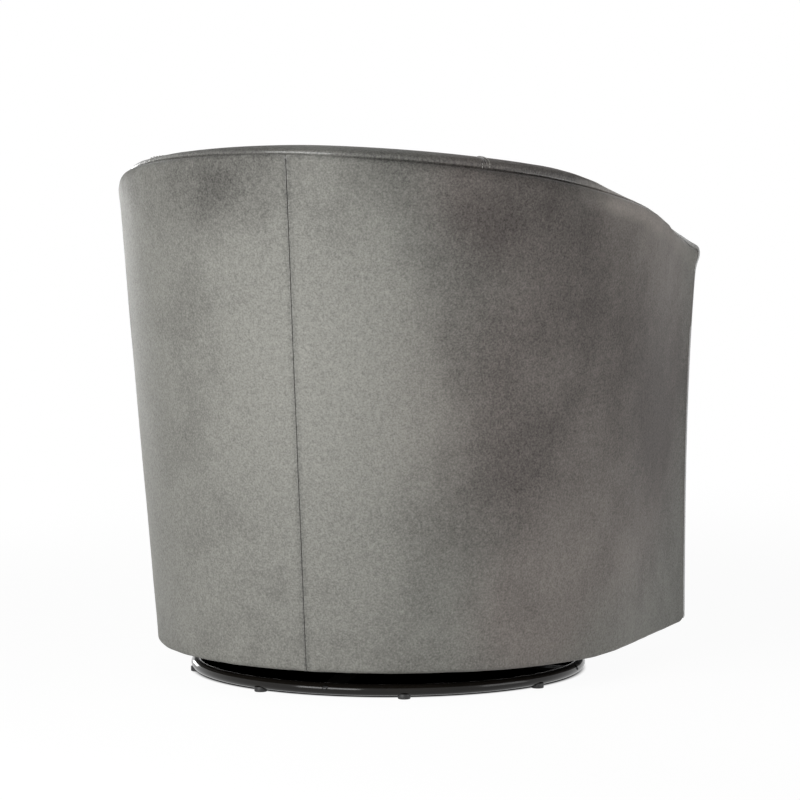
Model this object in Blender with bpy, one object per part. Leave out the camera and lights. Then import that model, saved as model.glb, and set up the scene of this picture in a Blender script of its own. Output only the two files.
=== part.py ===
"""A barrel swivel armchair: leather covers on a plywood frame, on a round steel swivel base.

Metres, +Z up. The front of the chair faces -Y. The origin is on the floor, under the middle of the
chair's box; the swivel axis is upright, SWIVEL_Y from it.

The curved wall is described once, by wall_point(run, height, inset). Every layer of the wall, from the
outside cover to the inside pad, takes its place from that one surface, so the layers nest.
"""

import math

import bmesh
import bpy
from mathutils import Matrix, Vector

# Clearances
GAP = 0.0004  # between pieces that touch
WALL_GAP = 0.0005  # between the nested layers of the curved wall
BORE_GAP = 0.0003  # round a shaft, a rivet or a ball

# The wall's outer surface
HALF_WIDTH = 0.338  # at the bottom edge
BACK_DEPTH = 0.346  # from the centre of the back's curve to the back, at the bottom edge
CURVE_CENTRE_Y = -0.0545
ARM_LENGTH = 0.294  # straight part of an arm, forward of the curve's centre
SHELL_BOTTOM = 0.040
SIDE_FLARE = 0.080  # metres outward for each metre up
BACK_FLARE = 0.101
ARM_ROLL = 0.015  # outward curl at the top of the arm's front
ARM_ROLL_RISE = 0.53  # height over which it curls
ARM_ROLL_POWER = 3.0
RIM_BACK = 0.750  # height of the outer seam at the middle of the back
RIM_DROP = 0.168  # how far it has dropped at the arm's front
RIM_POWER = 1.8
CURVE_SHARE = 0.69  # share of a half wall's run that is curved

# Layers, from outside inward
COVER = 0.006
LIP = 0.004  # cover where it turns in under the frame
LIP_REACH = 0.045
HEM_RADIUS = 0.010
LINER = 0.003
POST_DEPTH = 0.028
ARM_WALL = 0.085  # whole thickness of the wall at an arm
BACK_WALL = 0.115  # and at the middle of the back
BAND_WIDTH = 0.080
BAND_CROWN = 0.0115  # height of the top band's arch at the middle of the back
BAND_FRONT = 0.0085  # at the arms' fronts
BAND_FLAT = 0.002  # and beside the sitter, where the wall's top is flattened
TOP_SLOPE = 0.008  # how far the wall's top falls inward there
SHOULDER = 0.016  # how far the outside cover rolls in to its top seam, at the sides
SHOULDER_DROP = 0.022  # height of that roll
SHOULDER_START = 0.34  # share of a half wall's run over which the roll grows
SHOULDER_END = 0.80  # and from which it fades
FLAT_START = 0.28  # share of a half wall's run at which the top begins to flatten
FLAT_FULL = 0.62  # and at which it is flattest
EDGE_ROLL = 0.0015  # how far a cover's edge turns in at a seam
PAD_CROWN = 0.006
SEAM_DROP = 0.004  # from the top band down to where an inside pad's face begins
JOIN_ANGLE = 40.5  # degrees from the middle of the back to the joins of the top band

# Frame
PANEL = 0.018  # plywood
POST_WIDTH = 0.045
BACK_POST_ANGLES = (0.0, 33.75, 71.25)
FRONT_RAIL = 0.018
WINDOW_MARGIN = 0.070  # plywood left round the windows
WINDOW_CORNER = 0.030
WEB_WIDTH = 0.200  # plywood that carries the swivel
SEAT_PANEL_TOP = 0.2915
SEAT_SIDE_LEDGE = 0.068  # plywood left beside the seat's window
SEAT_BACK_LEDGE = 0.155
SEAT_FRONT_BAR = 0.034

# Seat
SPRING_WIRE = 0.0019  # radius
SPRING_COUNT = 5
SPRING_MARGIN = 0.072  # from the window's side to the middle of the outer spring
SPRING_WAVE = 0.021  # half the width of a spring
SPRING_LOOPS = 8
SPRING_CROWN = 0.006
SPRING_SEAT = 0.012  # how far a spring's ends lie over the plywood
DECK = 0.008
DECK_SHORT = 0.012  # from the deck's back edge to the inside back
CUSHION_SIDE = 0.128
CUSHION_CROWN = 0.026
CUSHION_DOME = 0.130  # from the side to where the crown is level
CUSHION_EDGE = 0.010
CUSHION_GAP = 0.0015
CUSHION_FRONT = 0.006  # how far the cushion stands out past the arms' front seam
FACING = 0.014
FACING_ROLL = 0.018
BORDER = 0.008
BORDER_ROLL = 0.010
DUST_COVER = 0.0012

# Swivel and base
SWIVEL_Y = -0.022
PLATE = 0.003
PLATE_SIDE = 0.178
PLATE_CORNER = 0.020
RACE_RADIUS = 0.060
BALL_RADIUS = 0.004
BALL_SINK = 0.0015  # depth of the pressed races
BALL_COUNT = 12
CAGE_WIDTH = 0.014
CAGE = 0.002
LOWER_PLATE_RADIUS = 0.080
PIN_RADIUS = 0.006
PIN_HEAD_RADIUS = 0.011
PIN_HEAD = 0.0028
PIN_RECESS = 0.003  # free space round the pin's upper head
SCREW_COVERED = 0.002  # wood left over a screw's end
SCREW_SQUARE = 0.070  # half the side of the screws' square
SCREW_RADIUS = 0.004
SCREW_HEAD_RADIUS = 0.0075
SCREW_HEAD = 0.0045
RING_RADIUS = 0.272
TUBE_RADIUS = 0.008
GLIDE_STAND = 0.0041  # floor to tube
GLIDE_RADIUS = 0.009
GLIDE_GRIP = 0.0030  # how far a glide's saddle reaches up the tube
GLIDE_COUNT = 8
GLIDE_TURN = 25.5  # degrees
BAR = 0.004
BAR_WIDTH = 0.030
BAR_START = 0.024  # from the swivel's axis
BAR_BEND = 0.012  # from the lower plate's edge to the first bend
BAR_FOOT = 0.030  # level length at the tube
BAR_TURN = 2.8  # degrees
BAR_COUNT = 4
RIVET_RADIUS = 0.002
RIVET_HEAD_RADIUS = 0.0042
RIVET_DOME = 0.0018
RIVET_DEPTH = 0.006
RIVET_LIFT = 22.0  # degrees above level, on the outside of the tube

# Facets
CURVE_STEPS = 12
ARM_STEPS = 5
LEVELS = (0.0, 0.25, 0.48, 0.68, 0.85, 1.0)  # shares of the height from bottom edge to rim
LEVEL_MARGIN = 0.012  # a level this near a layer's edge is left out
ROUND = 48
TUBE_SIDES = 12
ARCH_STEPS = 8
ROLL_STEPS = 3
DISC_SIDES = 36
PIN_SIDES = 16
DECK_STEPS = 14
FRONT_CLEAR = 0.005  # a point of the wall's plan this near a panel's front edge is left out

# What follows from them
LINER_IN = COVER + WALL_GAP
POST_IN = LINER_IN + LINER + WALL_GAP
INNER_LINER_IN = POST_IN + POST_DEPTH + WALL_GAP
PAD_IN = INNER_LINER_IN + LINER + WALL_GAP
FRONT_SEAM_Y = CURVE_CENTRE_Y - ARM_LENGTH
FRAME_BOTTOM = SHELL_BOTTOM + LIP + GAP
BASE_PANEL_TOP = FRAME_BOTTOM + PANEL
SEAT_PANEL_BOTTOM = SEAT_PANEL_TOP - PANEL
FRAME_FRONT_Y = FRONT_SEAM_Y + GAP
SEAT_FRONT_Y = FRAME_FRONT_Y + FRONT_RAIL + GAP
SPRING_Z = SEAT_PANEL_TOP + GAP + SPRING_WIRE
DECK_BOTTOM = SPRING_Z + SPRING_WIRE + GAP
DECK_TOP = DECK_BOTTOM + DECK
CUSHION_BOTTOM = DECK_TOP + SPRING_CROWN + GAP
DUST_TOP = FRAME_BOTTOM - GAP
UPPER_PLATE_TOP = DUST_TOP - DUST_COVER - GAP
UPPER_PLATE_BOTTOM = UPPER_PLATE_TOP - PLATE
BALL_Z = UPPER_PLATE_BOTTOM + BALL_SINK - BORE_GAP - BALL_RADIUS
LOWER_PLATE_TOP = BALL_Z - BALL_RADIUS - BORE_GAP + BALL_SINK
LOWER_PLATE_BOTTOM = LOWER_PLATE_TOP - PLATE
HUB_TOP = LOWER_PLATE_BOTTOM - GAP
TUBE_Z = GLIDE_STAND + TUBE_RADIUS
JOIN_RUN = JOIN_ANGLE / 90 * CURVE_SHARE
STATIONS = sorted(
    {side * step / CURVE_STEPS * CURVE_SHARE for side in (-1, 1) for step in range(CURVE_STEPS + 1)}
    | {
        side * (CURVE_SHARE + step / ARM_STEPS * (1 - CURVE_SHARE))
        for side in (-1, 1)
        for step in range(1, ARM_STEPS + 1)
    }
)

LEATHER = ("leather", (0.29, 0.285, 0.265), 0.5, 0.0)
FOAM_CLOTH = ("deck_cloth", (0.12, 0.12, 0.12), 0.95, 0.0)
DUST_CLOTH = ("dust_cloth", (0.02, 0.02, 0.02), 0.95, 0.0)
PLYWOOD = ("plywood", (0.55, 0.38, 0.20), 0.7, 0.0)
FIBREBOARD = ("fibreboard", (0.42, 0.31, 0.19), 0.85, 0.0)
BRONZE_PAINT = ("bronze_paint", (0.045, 0.038, 0.032), 0.28, 0.6)
BARE_STEEL = ("bare_steel", (0.45, 0.45, 0.44), 0.35, 1.0)
BLACK_NYLON = ("black_nylon", (0.012, 0.012, 0.012), 0.5, 0.0)


def ease(share):
    """Rises from 0 to 1 with level ends."""
    share = min(1.0, max(0.0, share))
    return share * share * (3 - 2 * share)


def mix(low, high, share):
    return low + (high - low) * share


def rim_height(run):
    """Height of the wall's outer top seam.

    run goes from 0 at the middle of the back to 1 at the left arm's front and -1 at the right one's."""
    return RIM_BACK - RIM_DROP * abs(run) ** RIM_POWER


def frame_top(run):
    """Height of the top rail, under the padding."""
    return rim_height(run) - SHOULDER_DROP


def shoulder(run):
    """How far in from the wall's face the outside cover meets the top band."""
    grown = ease(abs(run) / SHOULDER_START)
    faded = ease((abs(run) - SHOULDER_END) / (1 - SHOULDER_END))
    return SHOULDER * grown * (1 - faded)


def flattened(run):
    """How far the wall's top is flattened: 1 beside the sitter, 0 at the back and at the arms' fronts."""
    grown = ease((abs(run) - FLAT_START) / (FLAT_FULL - FLAT_START))
    faded = ease((abs(run) - SHOULDER_END) / (1 - SHOULDER_END))
    return grown * (1 - faded)


def band_crown(run):
    """Height of the top band's arch."""
    return mix(mix(BAND_CROWN, BAND_FRONT, ease(abs(run))), BAND_FLAT, flattened(run))


def top_height(run, inset):
    """Height of the wall's top under the band, which is level as far in as the outside cover goes."""
    level = shoulder(run) + EDGE_ROLL + COVER + WALL_GAP
    share = max(0.0, inset - level) / (BAND_WIDTH - level)
    return rim_height(run) - TOP_SLOPE * flattened(run) * share


def wall_thickness(run):
    """Distance from the outside cover to the face of the inside pad."""
    return mix(BACK_WALL, ARM_WALL, ease(abs(run) / CURVE_SHARE))


def outline(run, height):
    """Plan of the wall's outer surface at one height."""
    rise = height - SHELL_BOTTOM
    side = math.copysign(1.0, run)
    widest = HALF_WIDTH + SIDE_FLARE * rise
    if abs(run) <= CURVE_SHARE:
        angle = abs(run) / CURVE_SHARE * math.pi / 2
        depth = BACK_DEPTH + BACK_FLARE * rise
        return Vector((side * widest * math.sin(angle), CURVE_CENTRE_Y + depth * math.cos(angle)))
    forward = (abs(run) - CURVE_SHARE) / (1 - CURVE_SHARE)
    front = HALF_WIDTH + ARM_ROLL * max(0.0, rise / ARM_ROLL_RISE) ** ARM_ROLL_POWER
    return Vector((side * mix(widest, front, ease(forward)), CURVE_CENTRE_Y - ARM_LENGTH * forward))


def station_point(run, height, inset):
    """The outline moved inward, square to itself."""
    step = 1e-4
    before = outline(max(run - step, -1.0), height)
    after = outline(min(run + step, 1.0), height)
    along = (after - before).normalized()
    return outline(run, height) + Vector((along.y, -along.x)) * inset


def bracket(value, marks):
    """The two marks on either side of value, and its share of the way between them."""
    for low, high in zip(marks, marks[1:]):
        if value <= high:
            break
    return low, high, (value - low) / (high - low)


def level_height(run, level):
    return mix(SHELL_BOTTOM, rim_height(run), level)


def station_line(run, height, inset):
    """A point of the upright edge between two facets of the wall."""
    low, high, up = bracket((height - SHELL_BOTTOM) / (rim_height(run) - SHELL_BOTTOM), LEVELS)
    lower = station_point(run, level_height(run, low), inset)
    upper = station_point(run, level_height(run, high), inset)
    return lower + (upper - lower) * up


def wall_point(run, height, inset):
    """A point of the faceted wall: run along it, height above the floor, inset from its outside."""
    left, right, across = bracket(run, STATIONS)
    flat = station_line(left, height, inset).lerp(station_line(right, height, inset), across)
    return Vector((flat.x, flat.y, height))


def runs_between(start, end):
    """start, the wall's stations inside, and end."""
    inside = [run for run in STATIONS if start + 1e-4 < run < end - 1e-4]
    return [start, *inside, end]


def heights_between(run, low, high):
    """The edge low, the wall's levels inside, and the edge high. Both edges are functions of run."""

    def lies_between(level):
        """Whether it does at the middle of the back and at an arm's front. A layer's rings are equal."""
        for end in (0.0, 1.0):
            if not low(end) + LEVEL_MARGIN < level_height(end, level) < high(end) - LEVEL_MARGIN:
                return False
        return True

    inside = [level_height(run, level) for level in LEVELS if lies_between(level)]
    return [low(run), *inside, high(run)]


def material_of(finish):
    name, colour, roughness, metallic = finish
    material = bpy.data.materials.get(name)
    if material is None:
        material = bpy.data.materials.new(name)
        material.use_nodes = True
        shader = material.node_tree.nodes["Principled BSDF"]
        shader.inputs["Base Color"].default_value = (*colour, 1.0)
        shader.inputs["Roughness"].default_value = roughness
        shader.inputs["Metallic"].default_value = metallic
    return material


def link(name, mesh, finish, parent=None, smooth=35):
    """Puts a mesh in the scene as one named part."""
    part = bpy.data.objects.new(name, mesh)
    bpy.context.scene.collection.objects.link(part)
    part.data.materials.append(material_of(finish))
    part.data.shade_smooth()
    part.data.set_sharp_from_angle(angle=math.radians(smooth))
    if parent is not None:
        part.parent = parent
        part.matrix_parent_inverse = Matrix.Translation(-parent.location)
    return part


def split_key(point):
    """Orders points by height, then by distance from the middle of the chair."""
    return round(point.z, 6), point.xy.length


def loft(name, rings, finish, parent=None, closed=False):
    """Joins equal rings of points one after another.

    The ends are capped, unless the last ring meets the first.
    Each patch is split from its low or inner corner on one ring to the far corner on the next, so that the
    facets of nested layers lie parallel."""
    build = bmesh.new()
    rows = [[build.verts.new(point) for point in ring] for ring in rings]
    pairs = list(zip(rows, rows[1:]))
    if closed:
        pairs.append((rows[-1], rows[0]))
    count = len(rows[0])
    for here, there in pairs:
        for i in range(count):
            j = (i + 1) % count
            if split_key(here[i].co) < split_key(here[j].co):
                build.faces.new((here[i], here[j], there[j]))
                build.faces.new((here[i], there[j], there[i]))
            else:
                build.faces.new((here[i], here[j], there[i]))
                build.faces.new((here[j], there[j], there[i]))
    if not closed:
        build.faces.new(rows[0][::-1])
        build.faces.new(rows[-1])
    if build.calc_volume(signed=True) < 0:
        bmesh.ops.reverse_faces(build, faces=build.faces)
    mesh = bpy.data.meshes.new(name)
    build.to_mesh(mesh)
    build.free()
    return link(name, mesh, finish, parent)


def wall_sweep(name, start, end, section, finish, parent):
    """A layer of the wall from run start to run end.

    section(run) gives its (inset, height) points in order."""
    rings = []
    for run in runs_between(start, end):
        rings.append([wall_point(run, height, inset) for inset, height in section(run)])
    return loft(name, rings, finish, parent)


def slab_section(inner, outer, low, high):
    """Section of an even layer: up its outer face and down its inner face. The edges are functions of run."""

    def section(run):
        heights = heights_between(run, low, high)
        return [(outer, height) for height in heights] + [(inner, height) for height in reversed(heights)]

    return section


def shrink(points, distance):
    """A plan outline moved inward by distance at each edge, mitred at its corners. It runs anticlockwise."""
    moved = []
    for i, point in enumerate(points):
        before = (point - points[i - 1]).normalized()
        after = (points[(i + 1) % len(points)] - point).normalized()
        normal = Vector((-before.y - after.y, before.x + after.x)).normalized()
        cosine = max(0.5, normal.dot(Vector((-before.y, before.x))))
        moved.append(point + normal * (distance / cosine))
    return moved


def extrude_plan(name, outer, bottom, top, finish, parent, corner=0.0):
    """A flat piece with the plan outline outer."""
    build = bmesh.new()
    face = build.faces.new([build.verts.new((point.x, point.y, bottom)) for point in outer])
    if corner:
        bmesh.ops.bevel(
            build,
            geom=list(build.verts),
            offset=corner,
            segments=3,
            profile=0.5,
            affect="VERTICES",
            clamp_overlap=True,
        )
        face = list(build.faces)[0]
    raised = bmesh.ops.extrude_face_region(build, geom=[face])["geom"]
    for vert in raised:
        if isinstance(vert, bmesh.types.BMVert):
            vert.co.z = top
    bmesh.ops.recalc_face_normals(build, faces=build.faces)
    mesh = bpy.data.meshes.new(name)
    build.to_mesh(mesh)
    build.free()
    return link(name, mesh, finish, parent)


def rectangle(low_x, high_x, low_y, high_y):
    return [Vector(corner) for corner in ((low_x, low_y), (high_x, low_y), (high_x, high_y), (low_x, high_y))]


def turn(name, profile, finish, sides, parent=None):
    """A turned piece. The profile's (radius, height) points run round its section, from the axis if solid."""
    build = bmesh.new()
    verts = [build.verts.new((radius, 0, height)) for radius, height in profile]
    edges = [build.edges.new(pair) for pair in zip(verts, verts[1:])]
    if profile[0][0] > 0:
        edges.append(build.edges.new((verts[-1], verts[0])))
    bmesh.ops.spin(
        build,
        geom=verts + edges,
        axis=(0, 0, 1),
        cent=(0, 0, 0),
        angle=math.tau,
        steps=sides,
        use_merge=True,
    )
    bmesh.ops.remove_doubles(build, verts=build.verts, dist=1e-6)
    bmesh.ops.recalc_face_normals(build, faces=build.faces)
    mesh = bpy.data.meshes.new(name)
    build.to_mesh(mesh)
    build.free()
    part = link(name, mesh, finish)
    part.location = (0, SWIVEL_Y, 0)
    if parent is not None:
        part.parent = parent
        part.location = (0, 0, 0)
    return part


def as_cutter(part):
    """Keeps a piece as a tool of Boolean modifiers only."""
    part.hide_render = True
    part.display_type = "WIRE"
    return part


def boolean(part, other, operation="DIFFERENCE"):
    modifier = part.modifiers.new(other.name, "BOOLEAN")
    modifier.operation = operation
    modifier.solver = "EXACT"
    modifier.object = other
    as_cutter(other)


def rod(name, radius, start, end, sides, finish=BARE_STEEL):
    """A straight round bar between two points."""
    axis = Vector(end) - Vector(start)
    build = bmesh.new()
    bmesh.ops.create_cone(
        build, cap_ends=True, segments=sides, radius1=radius, radius2=radius, depth=axis.length
    )
    turned = axis.to_track_quat("Z", "Y").to_matrix().to_4x4()
    build.transform(Matrix.Translation((Vector(start) + Vector(end)) / 2) @ turned)
    mesh = bpy.data.meshes.new(name)
    build.to_mesh(mesh)
    build.free()
    return link(name, mesh, finish)


def torus(name, radius, tube, height, finish, tube_sides=TUBE_SIDES, sides=ROUND):
    bpy.ops.mesh.primitive_torus_add(
        major_segments=sides,
        minor_segments=tube_sides,
        major_radius=radius,
        minor_radius=tube,
        location=(0, SWIVEL_Y, height),
    )
    part = bpy.context.object
    part.name = name
    part.data.materials.append(material_of(finish))
    part.data.shade_smooth()
    return part


def on_circle(radius, degrees, height):
    """A point round the swivel axis. 0 degrees is to the sitter's left, 90 is behind the chair."""
    angle = math.radians(degrees)
    return Vector((radius * math.cos(angle), SWIVEL_Y + radius * math.sin(angle), height))


def adopt(part, parent):
    """Gives a part that stands in world coordinates to a parent empty."""
    part.parent = parent
    part.matrix_parent_inverse = Matrix.Translation(-parent.location)
    return part


def make_base():
    """The round tube on its glides, with the bars that carry the lower plate."""
    ring = torus("base_ring", RING_RADIUS, TUBE_RADIUS, TUBE_Z, BRONZE_PAINT)
    saddle = as_cutter(torus("tube_clearance", RING_RADIUS, TUBE_RADIUS + GAP, TUBE_Z, BRONZE_PAINT))
    for index in range(GLIDE_COUNT):
        place = on_circle(RING_RADIUS, GLIDE_TURN + index * 360 / GLIDE_COUNT, 0)
        top = place + Vector((0, 0, GLIDE_STAND + GLIDE_GRIP))
        glide = rod(f"glide_{index + 1}", GLIDE_RADIUS, place, top, 16, BLACK_NYLON)
        boolean(glide, saddle)
    for index in range(BAR_COUNT):
        degrees = BAR_TURN + index * 360 / BAR_COUNT
        make_bar(index + 1, degrees, saddle)
        make_rivet(index + 1, degrees, ring, saddle)


def make_bar(number, degrees, saddle):
    """A flat steel bar, bent twice, from under the lower plate out to the tube, which its end fits."""
    end = RING_RADIUS - TUBE_RADIUS / 2
    middle = HUB_TOP - BAR / 2
    bend = LOWER_PLATE_RADIUS + BAR_BEND
    foot = RING_RADIUS - TUBE_RADIUS - BAR_FOOT
    path = [(BAR_START, middle), (bend, middle), (foot, TUBE_Z), (end, TUBE_Z)]
    rings = []
    for index, (radius, height) in enumerate(path):
        before = path[max(index - 1, 0)]
        after = path[min(index + 1, len(path) - 1)]
        slope = Vector((after[0] - before[0], after[1] - before[1])).normalized()
        up = Vector((-slope.y, slope.x)) * BAR / 2
        ring = []
        for across, lift in ((-1, -1), (1, -1), (1, 1), (-1, 1)):
            point = on_circle(radius + lift * up.x, degrees, height + lift * up.y)
            side = on_circle(BAR_WIDTH / 2 * across, degrees + 90, 0) - on_circle(0, 0, 0)
            ring.append(point + side)
        rings.append(ring)
    boolean(loft(f"base_bar_{number}", rings, BRONZE_PAINT), saddle)


def make_rivet(number, degrees, ring, saddle):
    """A domed rivet through the outside of the tube."""
    lift = math.radians(RIVET_LIFT)

    def along(distance):
        return on_circle(RING_RADIUS + distance * math.cos(lift), degrees, TUBE_Z + distance * math.sin(lift))

    deep = along(TUBE_RADIUS - RIVET_DEPTH)
    hole = rod(
        f"rivet_hole_{number}",
        RIVET_RADIUS + BORE_GAP,
        along(TUBE_RADIUS - RIVET_DEPTH - GAP),
        along(TUBE_RADIUS + RIVET_DEPTH),
        12,
    )
    boolean(ring, hole)
    shank = rod(f"rivet_shank_{number}", RIVET_RADIUS, deep, along(TUBE_RADIUS + RIVET_DOME / 2), 12)
    build = bmesh.new()
    bmesh.ops.create_uvsphere(build, u_segments=12, v_segments=8, radius=RIVET_HEAD_RADIUS)
    squash = Matrix.Diagonal((1, 1, 2 * RIVET_DOME / RIVET_HEAD_RADIUS, 1))
    out = (along(1) - along(0)).to_track_quat("Z", "Y").to_matrix().to_4x4()
    build.transform(Matrix.Translation(along(TUBE_RADIUS - RIVET_DOME)) @ out @ squash)
    mesh = bpy.data.meshes.new(f"ring_rivet_{number}")
    build.to_mesh(mesh)
    build.free()
    rivet = link(f"ring_rivet_{number}", mesh, BRONZE_PAINT)
    boolean(rivet, saddle)
    boolean(rivet, shank, "UNION")


def make_swivel(cage_axis, chair_axis):
    """Two pressed plates that run on balls, held together by one riveted pin."""
    race = torus("race", RACE_RADIUS, BALL_RADIUS + BORE_GAP, BALL_Z, BARE_STEEL, TUBE_SIDES, DISC_SIDES)
    lower = turn(
        "lower_plate",
        [
            (PIN_RADIUS + BORE_GAP, LOWER_PLATE_BOTTOM),
            (LOWER_PLATE_RADIUS, LOWER_PLATE_BOTTOM),
            (LOWER_PLATE_RADIUS, LOWER_PLATE_TOP),
            (PIN_RADIUS + BORE_GAP, LOWER_PLATE_TOP),
        ],
        BRONZE_PAINT,
        DISC_SIDES,
    )
    boolean(lower, race)
    turn(
        "king_pin",
        [
            (0, LOWER_PLATE_BOTTOM - GAP - PIN_HEAD),
            (PIN_HEAD_RADIUS, LOWER_PLATE_BOTTOM - GAP - PIN_HEAD),
            (PIN_HEAD_RADIUS, LOWER_PLATE_BOTTOM - GAP),
            (PIN_RADIUS, LOWER_PLATE_BOTTOM - GAP),
            (PIN_RADIUS, UPPER_PLATE_TOP + GAP),
            (PIN_HEAD_RADIUS, UPPER_PLATE_TOP + GAP),
            (PIN_HEAD_RADIUS - PIN_HEAD, UPPER_PLATE_TOP + GAP + PIN_HEAD),
            (0, UPPER_PLATE_TOP + GAP + PIN_HEAD),
        ],
        BARE_STEEL,
        PIN_SIDES,
    )
    cage = turn(
        "ball_cage",
        [
            (RACE_RADIUS - CAGE_WIDTH / 2, BALL_Z - CAGE / 2),
            (RACE_RADIUS + CAGE_WIDTH / 2, BALL_Z - CAGE / 2),
            (RACE_RADIUS + CAGE_WIDTH / 2, BALL_Z + CAGE / 2),
            (RACE_RADIUS - CAGE_WIDTH / 2, BALL_Z + CAGE / 2),
        ],
        BARE_STEEL,
        DISC_SIDES,
        cage_axis,
    )
    for index in range(BALL_COUNT):
        place = on_circle(RACE_RADIUS, (index + 0.5) * 360 / BALL_COUNT, BALL_Z)
        build = bmesh.new()
        bmesh.ops.create_uvsphere(build, u_segments=8, v_segments=6, radius=BALL_RADIUS)
        build.transform(Matrix.Translation(place))
        mesh = bpy.data.meshes.new(f"ball_{index + 1}")
        build.to_mesh(mesh)
        build.free()
        boolean(cage, link(f"ball_{index + 1}", mesh, BARE_STEEL), "UNION")
    half = PLATE_SIDE / 2
    square = rectangle(-half, half, SWIVEL_Y - half, SWIVEL_Y + half)
    upper = extrude_plan(
        "upper_plate", square, UPPER_PLATE_BOTTOM, UPPER_PLATE_TOP, BRONZE_PAINT, chair_axis, PLATE_CORNER
    )
    boolean(upper, race)
    above = Vector((0, 0, BASE_PANEL_TOP + PANEL))
    axis_foot = on_circle(0, 0, 0)
    boolean(upper, rod("pin_hole", PIN_RADIUS + BORE_GAP, axis_foot, axis_foot + above, PIN_SIDES))
    for number, (x, y) in enumerate(((-1, -1), (1, -1), (1, 1), (-1, 1)), 1):
        foot = axis_foot + Vector((x * SCREW_SQUARE, y * SCREW_SQUARE, 0))
        head = rod(
            f"plate_screw_{number}",
            SCREW_HEAD_RADIUS,
            foot + Vector((0, 0, UPPER_PLATE_BOTTOM - GAP - SCREW_HEAD)),
            foot + Vector((0, 0, UPPER_PLATE_BOTTOM - GAP)),
            6,
        )
        shank_top = BASE_PANEL_TOP - SCREW_COVERED
        shank = rod(
            f"screw_shank_{number}",
            SCREW_RADIUS,
            foot + Vector((0, 0, UPPER_PLATE_BOTTOM - GAP - SCREW_HEAD / 2)),
            foot + Vector((0, 0, shank_top)),
            12,
        )
        boolean(head, shank, "UNION")
        adopt(head, chair_axis)
        boolean(upper, rod(f"screw_hole_{number}", SCREW_RADIUS + BORE_GAP, foot, foot + above, 12))


def wall_plan(height, inset):
    """Plan of the wall at one height and inset, from one arm's front round to the other, anticlockwise."""
    return [wall_point(run, height, inset).to_2d() for run in reversed(STATIONS)]


def frame_plan(height, inset, front):
    """The wall's plan from the sitter's left, round the back, to the right, with a straight front edge."""
    points = [point for point in wall_plan(height, inset) if point.y > front + FRONT_CLEAR]
    left = wall_point(1.0, height, inset).x
    return [Vector((left, front)), *points, Vector((-left, front))]


def make_frame(chair_axis):
    """Plywood panels, posts and rails, and the fibreboard that the covers lie on."""
    base_plan = frame_plan(FRAME_BOTTOM, POST_IN, FRAME_FRONT_Y)
    base = extrude_plan("base_panel", base_plan, FRAME_BOTTOM, BASE_PANEL_TOP, PLYWOOD, chair_axis)
    half_web = WEB_WIDTH / 2
    for name, low_y, high_y in (
        ("front_window", FRAME_FRONT_Y + WINDOW_MARGIN, SWIVEL_Y - half_web),
        ("rear_window", SWIVEL_Y + half_web, CURVE_CENTRE_Y + BACK_DEPTH - 2 * WINDOW_MARGIN),
    ):
        window = rectangle(-HALF_WIDTH + 2 * WINDOW_MARGIN, HALF_WIDTH - 2 * WINDOW_MARGIN, low_y, high_y)
        tool = extrude_plan(
            name, window, FRAME_BOTTOM - PANEL, BASE_PANEL_TOP + PANEL, PLYWOOD, None, WINDOW_CORNER
        )
        boolean(base, tool)
    for number in range(1, 5):
        boolean(base, bpy.data.objects[f"screw_hole_{number}"])
    recess = PIN_HEAD_RADIUS + PIN_RECESS
    above = on_circle(0, 0, BASE_PANEL_TOP + PANEL)
    boolean(base, rod("pin_recess", recess, on_circle(0, 0, 0), above, PIN_SIDES))

    seat_plan = frame_plan(SEAT_PANEL_BOTTOM, INNER_LINER_IN, SEAT_FRONT_Y)
    seat = extrude_plan("seat_panel", seat_plan, SEAT_PANEL_BOTTOM, SEAT_PANEL_TOP, PLYWOOD, chair_axis)
    half, front, back = seat_window()
    window = rectangle(-half, half, front, back)
    tool = extrude_plan(
        "seat_window", window, SEAT_PANEL_BOTTOM - PANEL, SEAT_PANEL_TOP + PANEL, PLYWOOD, None, WINDOW_CORNER
    )
    boolean(seat, tool)

    post_bottom = BASE_PANEL_TOP + GAP

    def post(name, start, end):
        section = slab_section(
            POST_IN + POST_DEPTH,
            POST_IN,
            lambda run: post_bottom,
            lambda run: frame_top(run) - PANEL - GAP,
        )
        wall_sweep(name, start, end, section, PLYWOOD, chair_axis)

    half = POST_WIDTH / 2 / (HALF_WIDTH * math.pi / 2) * CURVE_SHARE
    for angle in BACK_POST_ANGLES:
        middle = angle / 90 * CURVE_SHARE
        if angle == 0:
            post("back_post", -half, half)
            continue
        place = "rear" if angle < 45 else "side"
        post(f"{place}_post_left", middle - half, middle + half)
        post(f"{place}_post_right", -middle - half, -middle + half)
    last = STATIONS[-2]
    inside_front = 1.0 - GAP / ARM_LENGTH * (1 - CURVE_SHARE)
    post("arm_post_left", last, inside_front)
    post("arm_post_right", -inside_front, -last)

    for name, outer, depth, low, finish in (
        ("top_rail", POST_IN, POST_DEPTH, lambda run: frame_top(run) - PANEL, PLYWOOD),
        ("outer_liner", LINER_IN, LINER, lambda run: FRAME_BOTTOM, FIBREBOARD),
        ("inner_liner", INNER_LINER_IN, LINER, lambda run: SEAT_PANEL_TOP + GAP, FIBREBOARD),
    ):
        section = slab_section(outer + depth, outer, low, frame_top)
        wall_sweep(name, -inside_front, inside_front, section, finish, chair_axis)
    rail_half = wall_point(1.0, post_bottom, POST_IN + POST_DEPTH).x - GAP
    rail = rectangle(-rail_half, rail_half, FRAME_FRONT_Y, FRAME_FRONT_Y + FRONT_RAIL)
    extrude_plan("front_rail", rail, post_bottom, SEAT_PANEL_TOP, PLYWOOD, chair_axis)


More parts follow.
